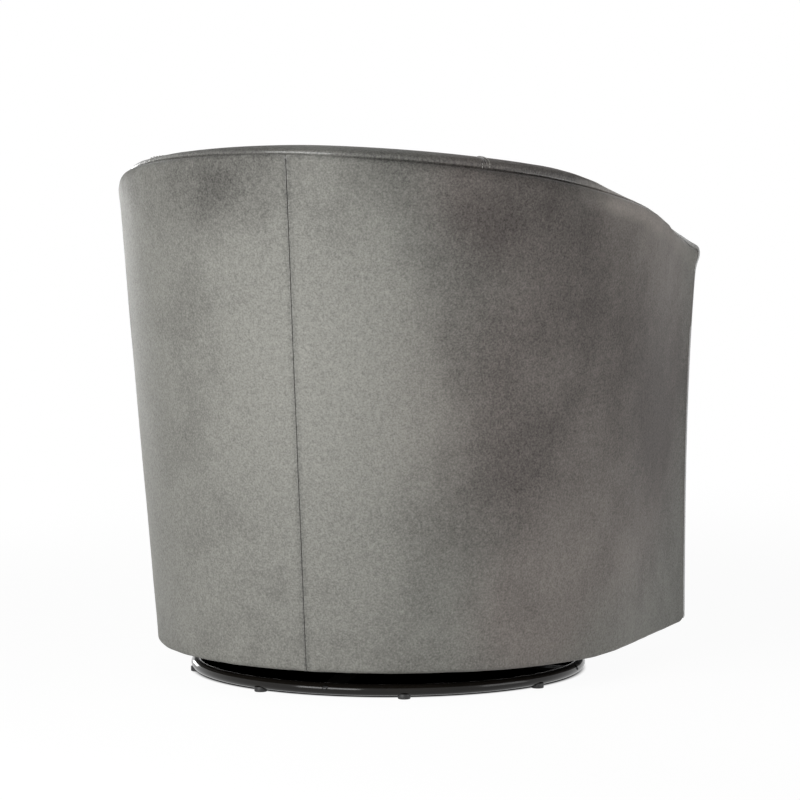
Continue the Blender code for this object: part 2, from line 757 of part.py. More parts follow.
def seat_window():
    """Half width, front and back of the seat panel's window."""
    half = wall_point(1.0, SEAT_PANEL_BOTTOM, INNER_LINER_IN).x - SEAT_SIDE_LEDGE
    back = wall_point(0.0, SEAT_PANEL_BOTTOM, INNER_LINER_IN).y - SEAT_BACK_LEDGE
    return half, SEAT_FRONT_Y + SEAT_FRONT_BAR, back


def make_seat_springs(chair_axis):
    """Zigzag springs from the front bar of the seat panel to the back edge of its window."""
    half, front, back = seat_window()
    front -= SPRING_SEAT
    back += SPRING_SEAT
    steps = SPRING_LOOPS * 8
    for number in range(SPRING_COUNT):
        middle = (half - SPRING_MARGIN) * (2 * number / (SPRING_COUNT - 1) - 1)
        curve = bpy.data.curves.new(f"seat_spring_{number + 1}", "CURVE")
        curve.dimensions = "3D"
        curve.bevel_depth = SPRING_WIRE
        curve.bevel_resolution = 0
        curve.use_fill_caps = True
        spline = curve.splines.new("POLY")
        points = []
        for step in range(steps + 1):
            share = step / steps
            wave = math.sin(share * SPRING_LOOPS * math.tau)
            wide = math.copysign(abs(wave) ** 0.5, wave) * SPRING_WAVE
            y = mix(front, back, share)
            points.append((middle + wide, y, SPRING_Z + seat_crown(y)))
        spline.points.add(len(points) - 1)
        for point, place in zip(spline.points, points):
            point.co = (*place, 1.0)
        spring = bpy.data.objects.new(f"seat_spring_{number + 1}", curve)
        bpy.context.scene.collection.objects.link(spring)
        curve.materials.append(material_of(BARE_STEEL))
        adopt(spring, chair_axis)


def seat_crown(y):
    """How far the springs arch above their ends."""
    front, back = seat_window()[1:]
    share = (y - front) / (back - front)
    return SPRING_CROWN * max(0.0, 1 - (2 * share - 1) ** 2)


def seat_half_width(y, height, inset_more):
    """Half the width between the inside pads at y."""
    points = [wall_point(run, height, wall_thickness(run) + inset_more) for run in STATIONS if run >= 0]
    for near, far in zip(points, points[1:]):
        if far.y <= y <= near.y:
            return abs(mix(near.x, far.x, (near.y - y) / (near.y - far.y)))
    return abs(points[-1].x) if y < points[-1].y else 0.0


def make_seat(chair_axis):
    """The padded cloth over the springs, and the loose-filled cushion on it."""
    back_y = wall_point(0.0, DECK_BOTTOM, BACK_WALL).y - WALL_GAP
    front_y = SEAT_FRONT_Y
    rings = []
    for step in range(DECK_STEPS + 1):
        y = mix(front_y, back_y - DECK_SHORT, step / DECK_STEPS)
        half = seat_half_width(y, DECK_BOTTOM, 4 * GAP)
        low = DECK_BOTTOM + seat_crown(y)
        high = low + DECK
        rings.append([Vector((x, y, z)) for x, z in ((-half, low), (half, low), (half, high), (-half, high))])
    loft("seat_deck", rings, FOAM_CLOTH, chair_axis)

    side_top = CUSHION_BOTTOM + CUSHION_SIDE

    def ring(height, drawn_in):
        level = min(max(height, CUSHION_BOTTOM), side_top)
        plan = [
            wall_point(run, level, wall_thickness(run) + CUSHION_GAP).to_2d() for run in reversed(STATIONS)
        ]
        left, right = plan[0], plan[-1]
        front = FRONT_SEAM_Y - CUSHION_FRONT
        corner = CUSHION_EDGE
        plan = (
            [Vector((left.x - corner * 0.3, front + corner * 0.3)), Vector((left.x, front + corner))]
            + plan[1:-1]
            + [Vector((right.x, front + corner)), Vector((right.x + corner * 0.3, front + corner * 0.3))]
        )
        steps_across = 6
        low_left, low_right = Vector((right.x + corner, front)), Vector((left.x - corner, front))
        plan += [low_left.lerp(low_right, share / steps_across) for share in range(steps_across + 1)]
        middle = Vector((0.0, (plan[0].y + max(point.y for point in plan)) / 2))
        scale = 1 - drawn_in / plan[0].x
        plan = [middle + (point - middle) * scale for point in plan]
        return [Vector((point.x, point.y, height)) for point in plan]

    top = side_top
    rings = [
        ring(CUSHION_BOTTOM, CUSHION_EDGE),
        ring(CUSHION_BOTTOM + CUSHION_EDGE, CUSHION_EDGE * 0.3),
        ring(CUSHION_BOTTOM + 4 * CUSHION_EDGE, 0.0),
        ring(top - 4 * CUSHION_EDGE, 0.0),
        ring(top - CUSHION_EDGE, CUSHION_EDGE * 0.3),
        ring(top, CUSHION_EDGE),
    ]
    for share in (0.2, 0.55, 1.0):
        crown = CUSHION_CROWN * (1 - (1 - share) ** 2.5)
        rings.append(ring(top + crown, CUSHION_EDGE + (CUSHION_DOME - CUSHION_EDGE) * share))
    loft("seat_cushion", rings, LEATHER, chair_axis)


def pillow_rings(shape, back_y, thickness, roll, steps):
    """Rings of an upright pad with the outline shape (x, z), rounded at the front over a width of roll."""
    rings = []
    for step in range(steps + 1):
        angle = math.pi / 2 * step / steps
        inset = roll * (1 - math.cos(angle))
        flat = shrink(shape, inset) if step else shape
        rings.append([Vector((point.x, back_y - thickness * math.sin(angle), point.y)) for point in flat])
    return rings


def make_covers(chair_axis):
    """The leather: two outside covers, the top band, the inside pads, and the fronts."""
    hem = HEM_RADIUS
    hem_middle = hem * (1 - math.sqrt(0.5))
    middle = GAP / 2 / (BACK_DEPTH * math.pi / 2) * CURVE_SHARE

    def cover_section(run):
        top = rim_height(run)
        ledge = frame_top(run)
        rolled = shoulder(run) + EDGE_ROLL
        heights = heights_between(run, lambda at: SHELL_BOTTOM + hem, frame_top)
        outside = [(hem_middle, SHELL_BOTTOM + hem_middle), *[(0.0, height) for height in heights]]
        for step in range(1, ROLL_STEPS + 1):
            angle = math.pi / 2 * step / ROLL_STEPS
            outside.append((rolled * (1 - math.cos(angle)), mix(ledge, top, math.sin(angle))))
        wad = [(rolled + COVER, top), (rolled + COVER, ledge + GAP), (COVER, ledge + GAP)]
        inside = [*wad, *[(COVER, height) for height in reversed(heights[:-1])]]
        lip = [(COVER, SHELL_BOTTOM + LIP), (LIP_REACH, SHELL_BOTTOM + LIP), (LIP_REACH, SHELL_BOTTOM)]
        return [(hem, SHELL_BOTTOM), *outside, *inside, *lip]

    wall_sweep("outside_cover_left", middle, 1.0, cover_section, LEATHER, chair_axis)
    wall_sweep("outside_cover_right", -1.0, -middle, cover_section, LEATHER, chair_axis)

    def band_section(run):
        def seat(inset):
            return inset, top_height(run, inset) + GAP

        outer = shoulder(run)
        arch = []
        for step in range(ARCH_STEPS + 1):
            angle = math.pi * step / ARCH_STEPS
            across, height = seat(mix(outer, BAND_WIDTH, (1 - math.cos(angle)) / 2))
            arch.append((across, height + mix(EDGE_ROLL, band_crown(run), math.sin(angle) ** 0.7)))
        foot = frame_top(run) + GAP
        near = outer + EDGE_ROLL + COVER + WALL_GAP
        far = PAD_IN - WALL_GAP
        wad = [seat(far), (far, foot), (near, foot), seat(near)]
        return [seat(outer + EDGE_ROLL), *arch, seat(BAND_WIDTH - EDGE_ROLL), seat(PAD_IN), *wad]

    slit = GAP / 2 / (BACK_DEPTH + HALF_WIDTH) * CURVE_SHARE
    wall_sweep("top_band_back", -JOIN_RUN + slit, JOIN_RUN - slit, band_section, LEATHER, chair_axis)
    wall_sweep("top_band_left", JOIN_RUN + slit, 1.0, band_section, LEATHER, chair_axis)
    wall_sweep("top_band_right", -1.0, -JOIN_RUN - slit, band_section, LEATHER, chair_axis)

    def pad_section(run):
        top = top_height(run, BAND_WIDTH)
        full = wall_thickness(run)
        low = SEAT_PANEL_TOP + GAP
        seat_line = CUSHION_BOTTOM + CUSHION_SIDE
        rise = top - seat_line
        face = [(full, low), (full, mix(low, seat_line, 0.5)), (full, seat_line)]
        for share in (0.3, 0.6, 0.85):
            bulge = (full - BAND_WIDTH) * (1 - share**3) + PAD_CROWN * math.sin(math.pi * share)
            face.append((BAND_WIDTH + bulge, seat_line + rise * share))
        edge = BAND_WIDTH - EDGE_ROLL
        face += [(BAND_WIDTH, top - SEAM_DROP), (edge, top_height(run, edge))]
        heights = heights_between(run, lambda at: low, lambda at: top_height(at, PAD_IN))
        return face + [(PAD_IN, height) for height in reversed(heights)]

    wall_sweep("inside_back", -JOIN_RUN + slit, JOIN_RUN - slit, pad_section, LEATHER, chair_axis)
    wall_sweep("inside_arm_left", JOIN_RUN + slit, 1.0, pad_section, LEATHER, chair_axis)
    wall_sweep("inside_arm_right", -1.0, -JOIN_RUN - slit, pad_section, LEATHER, chair_axis)

    for name, run in (("arm_front_left", 1.0), ("arm_front_right", -1.0)):
        heights = heights_between(run, lambda at: SHELL_BOTTOM, rim_height)
        outer = [wall_point(run, height, 0.0) for height in heights]
        arch = [wall_point(run, height, inset) for inset, height in band_section(run)[1 : ARCH_STEPS + 2]]
        inner = [wall_point(run, height, ARM_WALL) for height in reversed(heights)]
        around = [Vector((point.x, point.z)) for point in outer + arch[1:-1] + inner]
        if run > 0:
            shape = around
        else:
            shape = around[::-1]
        loft(name, pillow_rings(shape, FRONT_SEAM_Y - GAP, FACING, FACING_ROLL, 4), LEATHER, chair_axis)

    half = wall_point(1.0, SHELL_BOTTOM, ARM_WALL).x - GAP
    shape = rectangle(-half, half, SHELL_BOTTOM, CUSHION_BOTTOM - GAP)
    rings = pillow_rings(shape, FRONT_SEAM_Y, BORDER, BORDER_ROLL, 3)
    loft("front_border", rings, LEATHER, chair_axis)

    dust_plan = frame_plan(SHELL_BOTTOM, LIP_REACH + 2 * GAP, FRAME_FRONT_Y + COVER)
    dust = extrude_plan("dust_cover", dust_plan, DUST_TOP - DUST_COVER, DUST_TOP, DUST_CLOTH, chair_axis)
    for number in range(1, 5):
        boolean(dust, bpy.data.objects[f"screw_hole_{number}"])
    boolean(dust, bpy.data.objects["pin_recess"])


def axis_empty(name):
    """An empty on the swivel axis, which carries the pieces that turn."""
    empty = bpy.data.objects.new(name, None)
    empty.location = (0, SWIVEL_Y, 0)
    bpy.context.scene.collection.objects.link(empty)
    return empty


def main():
    for old in list(bpy.data.objects):
        bpy.data.objects.remove(old)
    cage_axis = axis_empty("cage_axis")
    chair_axis = axis_empty("chair_axis")
    make_base()
    make_swivel(cage_axis, chair_axis)
    make_frame(chair_axis)
    make_seat_springs(chair_axis)
    make_seat(chair_axis)
    make_covers(chair_axis)


main()
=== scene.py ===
"""The looks of a barrel-backed swivel armchair: grey leather covers on a low round steel base.

Metres, +Z up. The front of the chair faces -Y, and the sitter's left is +X. Every leather layer of the
curved wall is placed by WallForm, whose sizes are those of the frame that it dresses.
"""

import logging
import math
from collections.abc import Callable, Sequence
from dataclasses import dataclass
from enum import Enum

import bmesh
import bpy
from mathutils import Matrix, Vector, kdtree, noise


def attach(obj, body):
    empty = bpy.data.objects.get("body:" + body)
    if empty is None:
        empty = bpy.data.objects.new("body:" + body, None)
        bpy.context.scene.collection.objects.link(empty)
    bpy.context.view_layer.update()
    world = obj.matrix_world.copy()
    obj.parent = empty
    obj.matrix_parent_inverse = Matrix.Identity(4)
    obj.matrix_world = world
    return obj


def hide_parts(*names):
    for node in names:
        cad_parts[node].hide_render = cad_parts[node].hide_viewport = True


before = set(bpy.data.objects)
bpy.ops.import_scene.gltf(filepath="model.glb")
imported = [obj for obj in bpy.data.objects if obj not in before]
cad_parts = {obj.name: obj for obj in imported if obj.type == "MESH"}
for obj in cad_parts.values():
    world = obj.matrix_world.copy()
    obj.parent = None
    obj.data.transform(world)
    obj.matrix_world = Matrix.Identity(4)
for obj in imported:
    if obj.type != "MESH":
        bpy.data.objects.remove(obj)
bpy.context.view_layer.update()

LOG = logging.getLogger("armchair")

SWIVEL_Y = -0.022
WHITE = (1.0, 1.0, 1.0, 1.0)
SEAM_REACH = 0.006
LEATHER_CREASE = 60.0
WELD = 1e-5


class Side(Enum):
    """The sitter's sides of the chair. The value is the sign of x."""

    LEFT = 1
    RIGHT = -1

    @property
    def word(self) -> str:
        """The word that ends the names of this side's pieces."""
        return self.name.lower()


class Wood(Enum):
    """Which way a piece of wood's grain runs."""

    LEVEL = (1.0, 9.0, 9.0)
    UPRIGHT = (9.0, 9.0, 1.0)


# Small sums


def held(share: float) -> float:
    """Returns a share, kept between 0 and 1."""
    return min(1.0, max(0.0, share))


def ease(share: float) -> float:
    """Rises from 0 to 1 with level ends.

    Args:
        share: How far along, which is held between 0 and 1.

    Returns:
        The eased share.
    """
    share = held(share)
    return share * share * (3 - 2 * share)


def bell(value: float, middle: float, reach: float) -> float:
    """Returns 1 where a value is at the middle, falling to about 0 at twice the reach from it."""
    return math.exp(-(((value - middle) / reach) ** 2))


def mix(low: float, high: float, share: float) -> float:
    """Returns the value share of the way from low to high."""
    return low + (high - low) * share


def spread(low: float, high: float, steps: int) -> list[float]:
    """Returns steps + 1 even values from low to high."""
    return [mix(low, high, step / steps) for step in range(steps + 1)]


def quarter(radius: float, steps: int) -> list[tuple[float, float]]:
    """Goes round a quarter turn between two faces.

    Args:
        radius: The turn's radius.
        steps: Number of steps round it.

    Returns:
        For each point, its distance in from the second face and its distance up from the first.
    """
    angles = spread(0.0, math.pi / 2, steps)
    return [(radius * (1 - math.sin(angle)), radius * (1 - math.cos(angle))) for angle in angles]


def ripple(place: Vector, size: float, seed: float) -> float:
    """Smooth noise between about -1 and 1.

    Args:
        place: Where it is read.
        size: Distance over which it changes, in metres.
        seed: Tells one ripple from another.

    Returns:
        The noise there.
    """
    return noise.noise(place / size + Vector((seed, -seed, 0.37 * seed)))


# Meshes


def deselect_all() -> None:
    """Leaves edit mode and selects nothing."""
    if bpy.context.mode != "OBJECT":
        bpy.ops.object.mode_set(mode="OBJECT")
    bpy.ops.object.select_all(action="DESELECT")


def take(piece: bpy.types.Object) -> bpy.types.Object:
    """Makes one piece the only selected and the active one, and returns it."""
    deselect_all()
    piece.select_set(True)
    bpy.context.view_layer.objects.active = piece
    return piece


def apply_modifiers(piece: bpy.types.Object) -> bpy.types.Object:
    """Applies a piece's modifiers from first to last, and returns it."""
    take(piece)
    for modifier in list(piece.modifiers):
        bpy.ops.object.modifier_apply(modifier=modifier.name)
    return piece


def settle_origin(piece: bpy.types.Object) -> bpy.types.Object:
    """Moves a piece's place into its mesh, and returns it."""
    take(piece)
    bpy.ops.object.transform_apply(location=True, rotation=True, scale=True)
    return piece


def smooth(piece: bpy.types.Object, degrees: float = 40.0) -> bpy.types.Object:
    """Shades a piece smooth, apart from edges sharper than an angle, and returns it."""
    take(piece)
    bpy.ops.object.shade_smooth_by_angle(angle=math.radians(degrees))
    return piece


def add_object(name: str, data: bpy.types.ID) -> bpy.types.Object:
    """Puts a new object in the scene, and returns it."""
    piece = bpy.data.objects.new(name, data)
    bpy.context.scene.collection.objects.link(piece)
    return piece


def object_of(build: bmesh.types.BMesh, name: str) -> bpy.types.Object:
    """Turns a finished mesh in memory into a new object, and frees it."""
    mesh = bpy.data.meshes.new(name)
    build.to_mesh(mesh)
    build.free()
    return add_object(name, mesh)


def finder(places: Sequence[Vector]) -> kdtree.KDTree:
    """Returns a tree that finds the nearest of some places."""
    tree = kdtree.KDTree(len(places))
    for index, place in enumerate(places):
        tree.insert(place, index)
    tree.balance()
    return tree


def copy_of(piece: bpy.types.Object, name: str, move: Matrix) -> bpy.types.Object:
    """Copies a finished piece, with a mesh of its own.

    Args:
        piece: The piece to copy.
        name: The copy's name.
        move: Where the copy goes, seen from the first one.

    Returns:
        The copy.
    """
    twin = piece.copy()
    twin.data = piece.data.copy()
    twin.name = name
    twin.data.transform(move)
    bpy.context.scene.collection.objects.link(twin)
    return twin


def about_axis(degrees: float) -> Matrix:
    """Returns a turn about the chair's upright swivel axis."""
    axis = Matrix.Translation((0, SWIVEL_Y, 0))
    return axis @ Matrix.Rotation(math.radians(degrees), 4, "Z") @ axis.inverted()


def thicken(piece: bpy.types.Object, thickness: float) -> bpy.types.Object:
    """Gives a sheet its thickness, on the side away from its faces, and returns it."""
    wall = piece.modifiers.new("thickness", "SOLIDIFY")
    wall.thickness = thickness
    wall.offset = -1.0
    return apply_modifiers(piece)


def laid_grid(
    name: str, columns: int, rows: int, place: Callable[[int, int], Vector], facing: Vector
) -> bpy.types.Object:
    """A grid whose points are laid one by one.

    Args:
        name: The piece's name.
        columns: Number of points across.
        rows: Number of points up.
        place: Gives the place of the point in a column and a row.
        facing: Roughly where the outside of its middle looks.

    Returns:
        The grid, with its faces turned outward.
    """
    deselect_all()
    bpy.ops.mesh.primitive_grid_add(x_subdivisions=columns - 1, y_subdivisions=rows - 1, size=1.0)
    piece = bpy.context.object
    piece.name = name
    piece.data.name = name
    for vert in piece.data.vertices:
        column = round((vert.co.x + 0.5) * (columns - 1))
        row = round((vert.co.y + 0.5) * (rows - 1))
        vert.co = place(column, row)
    piece.data.update()
    turned = sum(face.normal.dot(facing) * face.area for face in piece.data.polygons)
    if turned < 0:
        bpy.ops.object.mode_set(mode="EDIT")
        bpy.ops.mesh.select_all(action="SELECT")
        bpy.ops.mesh.flip_normals()
        bpy.ops.object.mode_set(mode="OBJECT")
    return piece


def sewn_piece(
    name: str,
    counts: tuple[int, int],
    place: Callable[[int, int], Vector],
    mark: Callable[[int, int], float],
    facing: Vector,
    hide: float,
) -> bpy.types.Object:
    """Builds a piece of leather, with the attribute by which its finish knows the seams.

    Args:
        name: The piece's name.
        counts: Number of points across and up.
        place: Gives the place of the point in a column and a row.
        mark: Gives how near a seam that point is, 1 in a seam and 0 away from it.
        facing: Roughly where the outside of its middle looks.
        hide: The leather's thickness.

    Returns:
        The piece.
    """
    piece = laid_grid(name, *counts, place, facing)
    seam = piece.data.attributes.new("seam", "FLOAT", "POINT")
    for index in range(counts[0] * counts[1]):
        seam.data[index].value = mark(index % counts[0], index // counts[0])
    thicken(piece, hide)
    return smooth(piece, LEATHER_CREASE)


def select_facing(piece: bpy.types.Object, way: Vector, least: float = 0.9) -> None:
    """Selects, in edit mode, the faces of a piece that look one way.

    Args:
        piece: The piece, in edit mode.
        way: Where they look.
        least: The least cosine between that and a face's normal.
    """
    mesh = bmesh.from_edit_mesh(piece.data)
    for face in mesh.faces:
        face.select_set(face.normal.dot(way) > least)
    bmesh.update_edit_mesh(piece.data)


@dataclass(frozen=True)
class EdgePoint:
    """A point across a sewn edge: along is the distance from the seam, deep how far in under the surface."""

    along: float
    deep: float


def sewn_edge(radius: float, tuck: float, gap: float = 0.0003, steps: int = 5) -> list[EdgePoint]:
    """The way leather turns in at a seam.

    Args:
        radius: Radius of the turn.
        tuck: How far the edge goes in past the turn.
        gap: Half the space between the two edges of the seam.
        steps: Number of steps round the turn.

    Returns:
        Points from the tucked edge out to the surface.
    """
    points = [EdgePoint(gap, radius + tuck)]
    for inset, rise in quarter(radius, steps):
        points.append(EdgePoint(gap + rise, inset))
    return points


@dataclass(frozen=True)
class WallForm:
    """The outside of the chair's curved wall.

    A point is given by run, which goes from 0 at the middle of the back to 1 at the front of the sitter's
    left arm and -1 at the right one's, by its height above the floor, and by its inset from the outside.
    """

    half_width: float = 0.338
    back_depth: float = 0.346
    curve_centre_y: float = -0.0545
    arm_length: float = 0.294
    bottom: float = 0.0408
    side_flare: float = 0.080
    back_flare: float = 0.101
    arm_roll: float = 0.015
    arm_roll_rise: float = 0.53
    arm_roll_power: float = 3.0
    rim_back: float = 0.750
    rim_drop: float = 0.168
    rim_power: float = 1.8
    curve_share: float = 0.69
    shoulder_in: float = 0.016
    shoulder_drop: float = 0.022
    shoulder_start: float = 0.34
    shoulder_end: float = 0.80
    arm_wall: float = 0.085
    back_wall: float = 0.115
    band_width: float = 0.080
    band_crown: float = 0.0105
    band_front: float = 0.0128
    slump: float = 0.003
    slump_middle: float = 0.60
    slump_reach: float = 0.22
    band_flat: float = 0.002
    top_slope: float = 0.010
    flat_start: float = 0.42
    flat_full: float = 0.62
    join_angle: float = 40.5
    corner_puff: float = 0.0045
    corner_round: float = 0.007
    puff_below: float = 0.004
    puff_height: float = 0.014
    puff_start: float = 0.955
    puff_grow: float = 0.04
    round_reach: float = 0.014
    round_height: float = 0.03
    band_ledge: float = 0.008
    arch_power: float = 0.62

    @property
    def front_y(self) -> float:
        """Where the wall ends at the arms' fronts."""
        return self.curve_centre_y - self.arm_length

    @property
    def join_run(self) -> float:
        """The run at which the top band and the inside pads are joined."""
        return self.join_angle / 90 * self.curve_share

    def rim(self, run: float) -> float:
        """Returns the height of the outer top seam, which slumps a little beside the sitter."""
        slumped = self.slump * ease(1 - abs(abs(run) - self.slump_middle) / self.slump_reach)
        return self.rim_back - self.rim_drop * abs(run) ** self.rim_power - slumped

    def shoulder(self, run: float) -> float:
        """Returns how far in from the wall's face the outer top seam lies."""
        faded = ease((abs(run) - self.shoulder_end) / (1 - self.shoulder_end))
        return self.shoulder_in * ease(abs(run) / self.shoulder_start) * (1 - faded)

    def flattened(self, run: float) -> float:
        """Returns how far the wall's top is flattened, from 0 to 1 beside the sitter."""
        grown = ease((abs(run) - self.flat_start) / (self.flat_full - self.flat_start))
        return grown * (1 - ease((abs(run) - self.shoulder_end) / (1 - self.shoulder_end)))

    def crown(self, run: float) -> float:
        """Returns the height of the top band's arch."""
        full = mix(self.band_crown, self.band_front, ease(abs(run)))
        return mix(full, self.band_flat, self.flattened(run))

    def top(self, run: float, inset: float) -> float:
        """Returns the height of the wall's top under the band, which falls inward beside the sitter."""
        level = self.shoulder(run) + self.band_ledge
        share = max(0.0, inset - level) / (self.band_width - level)
        return self.rim(run) - self.top_slope * self.flattened(run) * share

    def thickness(self, run: float) -> float:
        """Returns the distance from the outside of the wall to the face of its inside pad."""
        return mix(self.back_wall, self.arm_wall, ease(abs(run) / self.curve_share))

    def outline(self, run: float, height: float) -> Vector:
        """Returns the plan of the outer surface at one height."""
        rise = height - self.bottom
        side = math.copysign(1.0, run)
        widest = self.half_width + self.side_flare * rise
        if abs(run) <= self.curve_share:
            angle = abs(run) / self.curve_share * math.pi / 2
            depth = self.back_depth + self.back_flare * rise
            y = self.curve_centre_y + depth * math.cos(angle)
            return Vector((side * widest * math.sin(angle), y))
        forward = (abs(run) - self.curve_share) / (1 - self.curve_share)
        curl = max(0.0, rise / self.arm_roll_rise) ** self.arm_roll_power
        front = self.half_width + self.arm_roll * curl
        y = self.curve_centre_y - self.arm_length * forward
        return Vector((side * mix(widest, front, ease(forward)), y))

    def puff(self, run: float, height: float) -> float:
        """Returns how far the leather puffs out at the top corner of an arm's front."""
        level = bell(self.rim(1.0) - height, self.puff_below, self.puff_height)
        return self.corner_puff * level * ease((abs(run) - self.puff_start) / self.puff_grow)

    def turned_up(self, gap: float, height: float) -> float:
        """Gives how far the hem rises at an arm's front, where its corner is rounded.

        Args:
            gap: The distance to the arm's front seam.
            height: The height above the floor.

        Returns:
            The rise.
        """
        faded = ease((height - self.bottom) / self.round_height)
        return self.corner_round * (1 - ease(gap / self.round_reach)) * (1 - faded)

    def along(self, run: float, height: float) -> Vector:
        """Returns the plan's change for each unit of run."""
        step = 1e-4
        low, high = max(run - step, -1.0), min(run + step, 1.0)
        return (self.outline(high, height) - self.outline(low, height)) / (high - low)

    def point(self, run: float, height: float, inset: float, beside: float = 0.0) -> Vector:
        """Places a point of the wall.

        Args:
            run: Where it is along the wall.
            height: Its height above the floor.
            inset: How far it is in from the outside, square to the wall.
            beside: A further distance along the wall.

        Returns:
            The point.
        """
        along = self.along(run, height)
        unit = along.normalized()
        flat = self.outline(run + beside / along.length, height) + Vector((unit.y, -unit.x)) * inset
        return Vector((flat.x, flat.y, height))

    def lengths(self) -> list[tuple[float, float]]:
        """Returns the lowest and highest run of the back, the left arm and the right arm."""
        return [(-self.join_run, self.join_run), (self.join_run, 1.0), (-1.0, -self.join_run)]

    def facing(self, low: float, high: float) -> Vector:
        """Returns roughly where the outside of the wall looks between two runs."""
        middle = self.outline((low + high) / 2, self.rim_back / 2)
        return Vector((middle.x, middle.y, 0.0)).normalized()


@dataclass(frozen=True)
class Column:
    """One column of a wall piece's grid: its run, its distance beside that, and how deep its seam draws it."""

    run: float
    beside: float = 0.0
    deep: float = 0.0

    def from_end(self, away: float = 0.02) -> float:
        """Returns how far it is from the seam at its end, or the value of away past the seam's turn."""
        return abs(self.beside) if self.deep or self.beside else away


def wall_columns(
    wall: WallForm, start: float, end: float, steps: int, edges: Sequence[EdgePoint]
) -> list[Column]:
    """Lays out the columns of a wall piece that is sewn at both ends.

    Args:
        wall: The wall it follows.
        start: Its lower run.
        end: Its higher run.
        steps: Number of steps between the two sewn edges.
        edges: The turn at each end, from the tuck outward.

    Returns:
        The columns, from start to end.
    """
    length = wall.along((start + end) / 2, wall.rim_back / 2).length
    margin = (edges[-1].along + 0.002) / length
    first = [Column(start, edge.along, edge.deep) for edge in edges]
    middle = [Column(run) for run in spread(start + margin, end - margin, steps)]
    last = [Column(end, -edge.along, edge.deep) for edge in reversed(edges)]
    return [*first, *middle, *last]


# Shader groups


class Sketch:
    """A short hand for adding and linking nodes in one node tree."""

    def __init__(self, tree: bpy.types.NodeTree) -> None:
        """Clears the tree and keeps it."""
        self.tree = tree
        tree.nodes.clear()

    def add(self, kind: str, settings: dict | None = None, **inputs) -> bpy.types.Node:
        """Adds a node.

        Args:
            kind: The node's type.
            settings: Values of the node itself.
            inputs: Values of, or links to, its sockets, by their names with _ for spaces.

        Returns:
            The node.
        """
        node = self.tree.nodes.new(kind)
        for key, value in (settings or {}).items():
            setattr(node, key, value)
        for key, value in inputs.items():
            self.set(node.inputs[key.replace("_", " ")], value)
        return node

    def set(self, socket: bpy.types.NodeSocket, value: object) -> None:
        """Links a socket to another, or gives it a plain value."""
        if isinstance(value, bpy.types.NodeSocket):
            self.tree.links.new(value, socket)
        else:
            socket.default_value = value

    def sum(self, operation: str, *values: object) -> bpy.types.NodeSocket:
        """Does arithmetic on its values, and returns the result's socket."""
        node = self.tree.nodes.new("ShaderNodeMath")
        node.operation = operation
        for socket, value in zip(node.inputs, values):
            self.set(socket, value)
        return node.outputs[0]

    def vector(self, operation: str, *values: object) -> bpy.types.bpy_prop_collection:
        """Does vector arithmetic on its values, and returns the node's outputs."""
        node = self.add("ShaderNodeVectorMath", {"operation": operation})
        for socket, value in zip(node.inputs, values):
            self.set(socket, value)
        return node.outputs

    def noise(self, vector: object, scale: object, detail: float = 2.0, rough: float = 0.5) -> bpy.types.NodeSocket:
        """Adds a noise texture, and returns its value's socket."""
        return self.add("ShaderNodeTexNoise", Vector=vector, Scale=scale, Detail=detail, Roughness=rough).outputs[0]

    def ramp(self, value: object, low: float, high: float, start: float, end: float) -> bpy.types.NodeSocket:
        """Maps a value from low..high to start..end, held at both ends."""
        node = self.tree.nodes.new("ShaderNodeMapRange")
        node.interpolation_type = "SMOOTHSTEP"
        for socket, item in zip(node.inputs, (value, low, high, start, end)):
            self.set(socket, item)
        return node.outputs[0]

    def from_line(self, place: object, start: Vector, end: Vector) -> bpy.types.NodeSocket:
        """Adds nodes for a place's distance from a straight line.

        Args:
            place: The place's socket.
            start: One end of the line.
            end: The other end.

        Returns:
            The distance's socket.
        """
        line = end - start
        gap = self.vector("SUBTRACT", place, start)[0]
        along = self.vector("DOT_PRODUCT", gap, line / line.length_squared)["Value"]
        share = self.sum("MINIMUM", self.sum("MAXIMUM", along, 0.0), 1.0)
        nearest = self.vector("MULTIPLY_ADD", share, line, start)[0]
        return self.vector("DISTANCE", place, nearest)["Value"]

    def blend(self, share: object, first: object, second: object, way: str = "MIX") -> bpy.types.NodeSocket:
        """Mixes two colours, and returns the result's socket."""
        node = self.add("ShaderNodeMix", {"data_type": "RGBA", "blend_type": way})
        for index, value in ((0, share), (6, first), (7, second)):
            self.set(node.inputs[index], value)
        return node.outputs[2]

    def mixed(self, share: object, first: bpy.types.Node, second: bpy.types.Node) -> bpy.types.NodeSocket:
        """Mixes two shaders, and returns the result's socket."""
        node = self.add("ShaderNodeMixShader")
        for socket, value in zip(node.inputs, (share, first.outputs[0], second.outputs[0])):
            self.set(socket, value)
        return node.outputs[0]

    def seen(self) -> bpy.types.NodeSocket:
        """Returns 1 for a ray that the camera sees, also in a shiny or through a clear surface."""
        path = self.add("ShaderNodeLightPath").outputs
        seen = self.sum("MAXIMUM", path["Is Camera Ray"], path["Is Glossy Ray"])
        return self.sum("MAXIMUM", seen, path["Is Transmission Ray"])

    def close(self, **outputs) -> bpy.types.NodeTree:
        """Links a node group's outputs, by their names, and returns the group."""
        self.add("NodeGroupOutput", **outputs)
        return self.tree


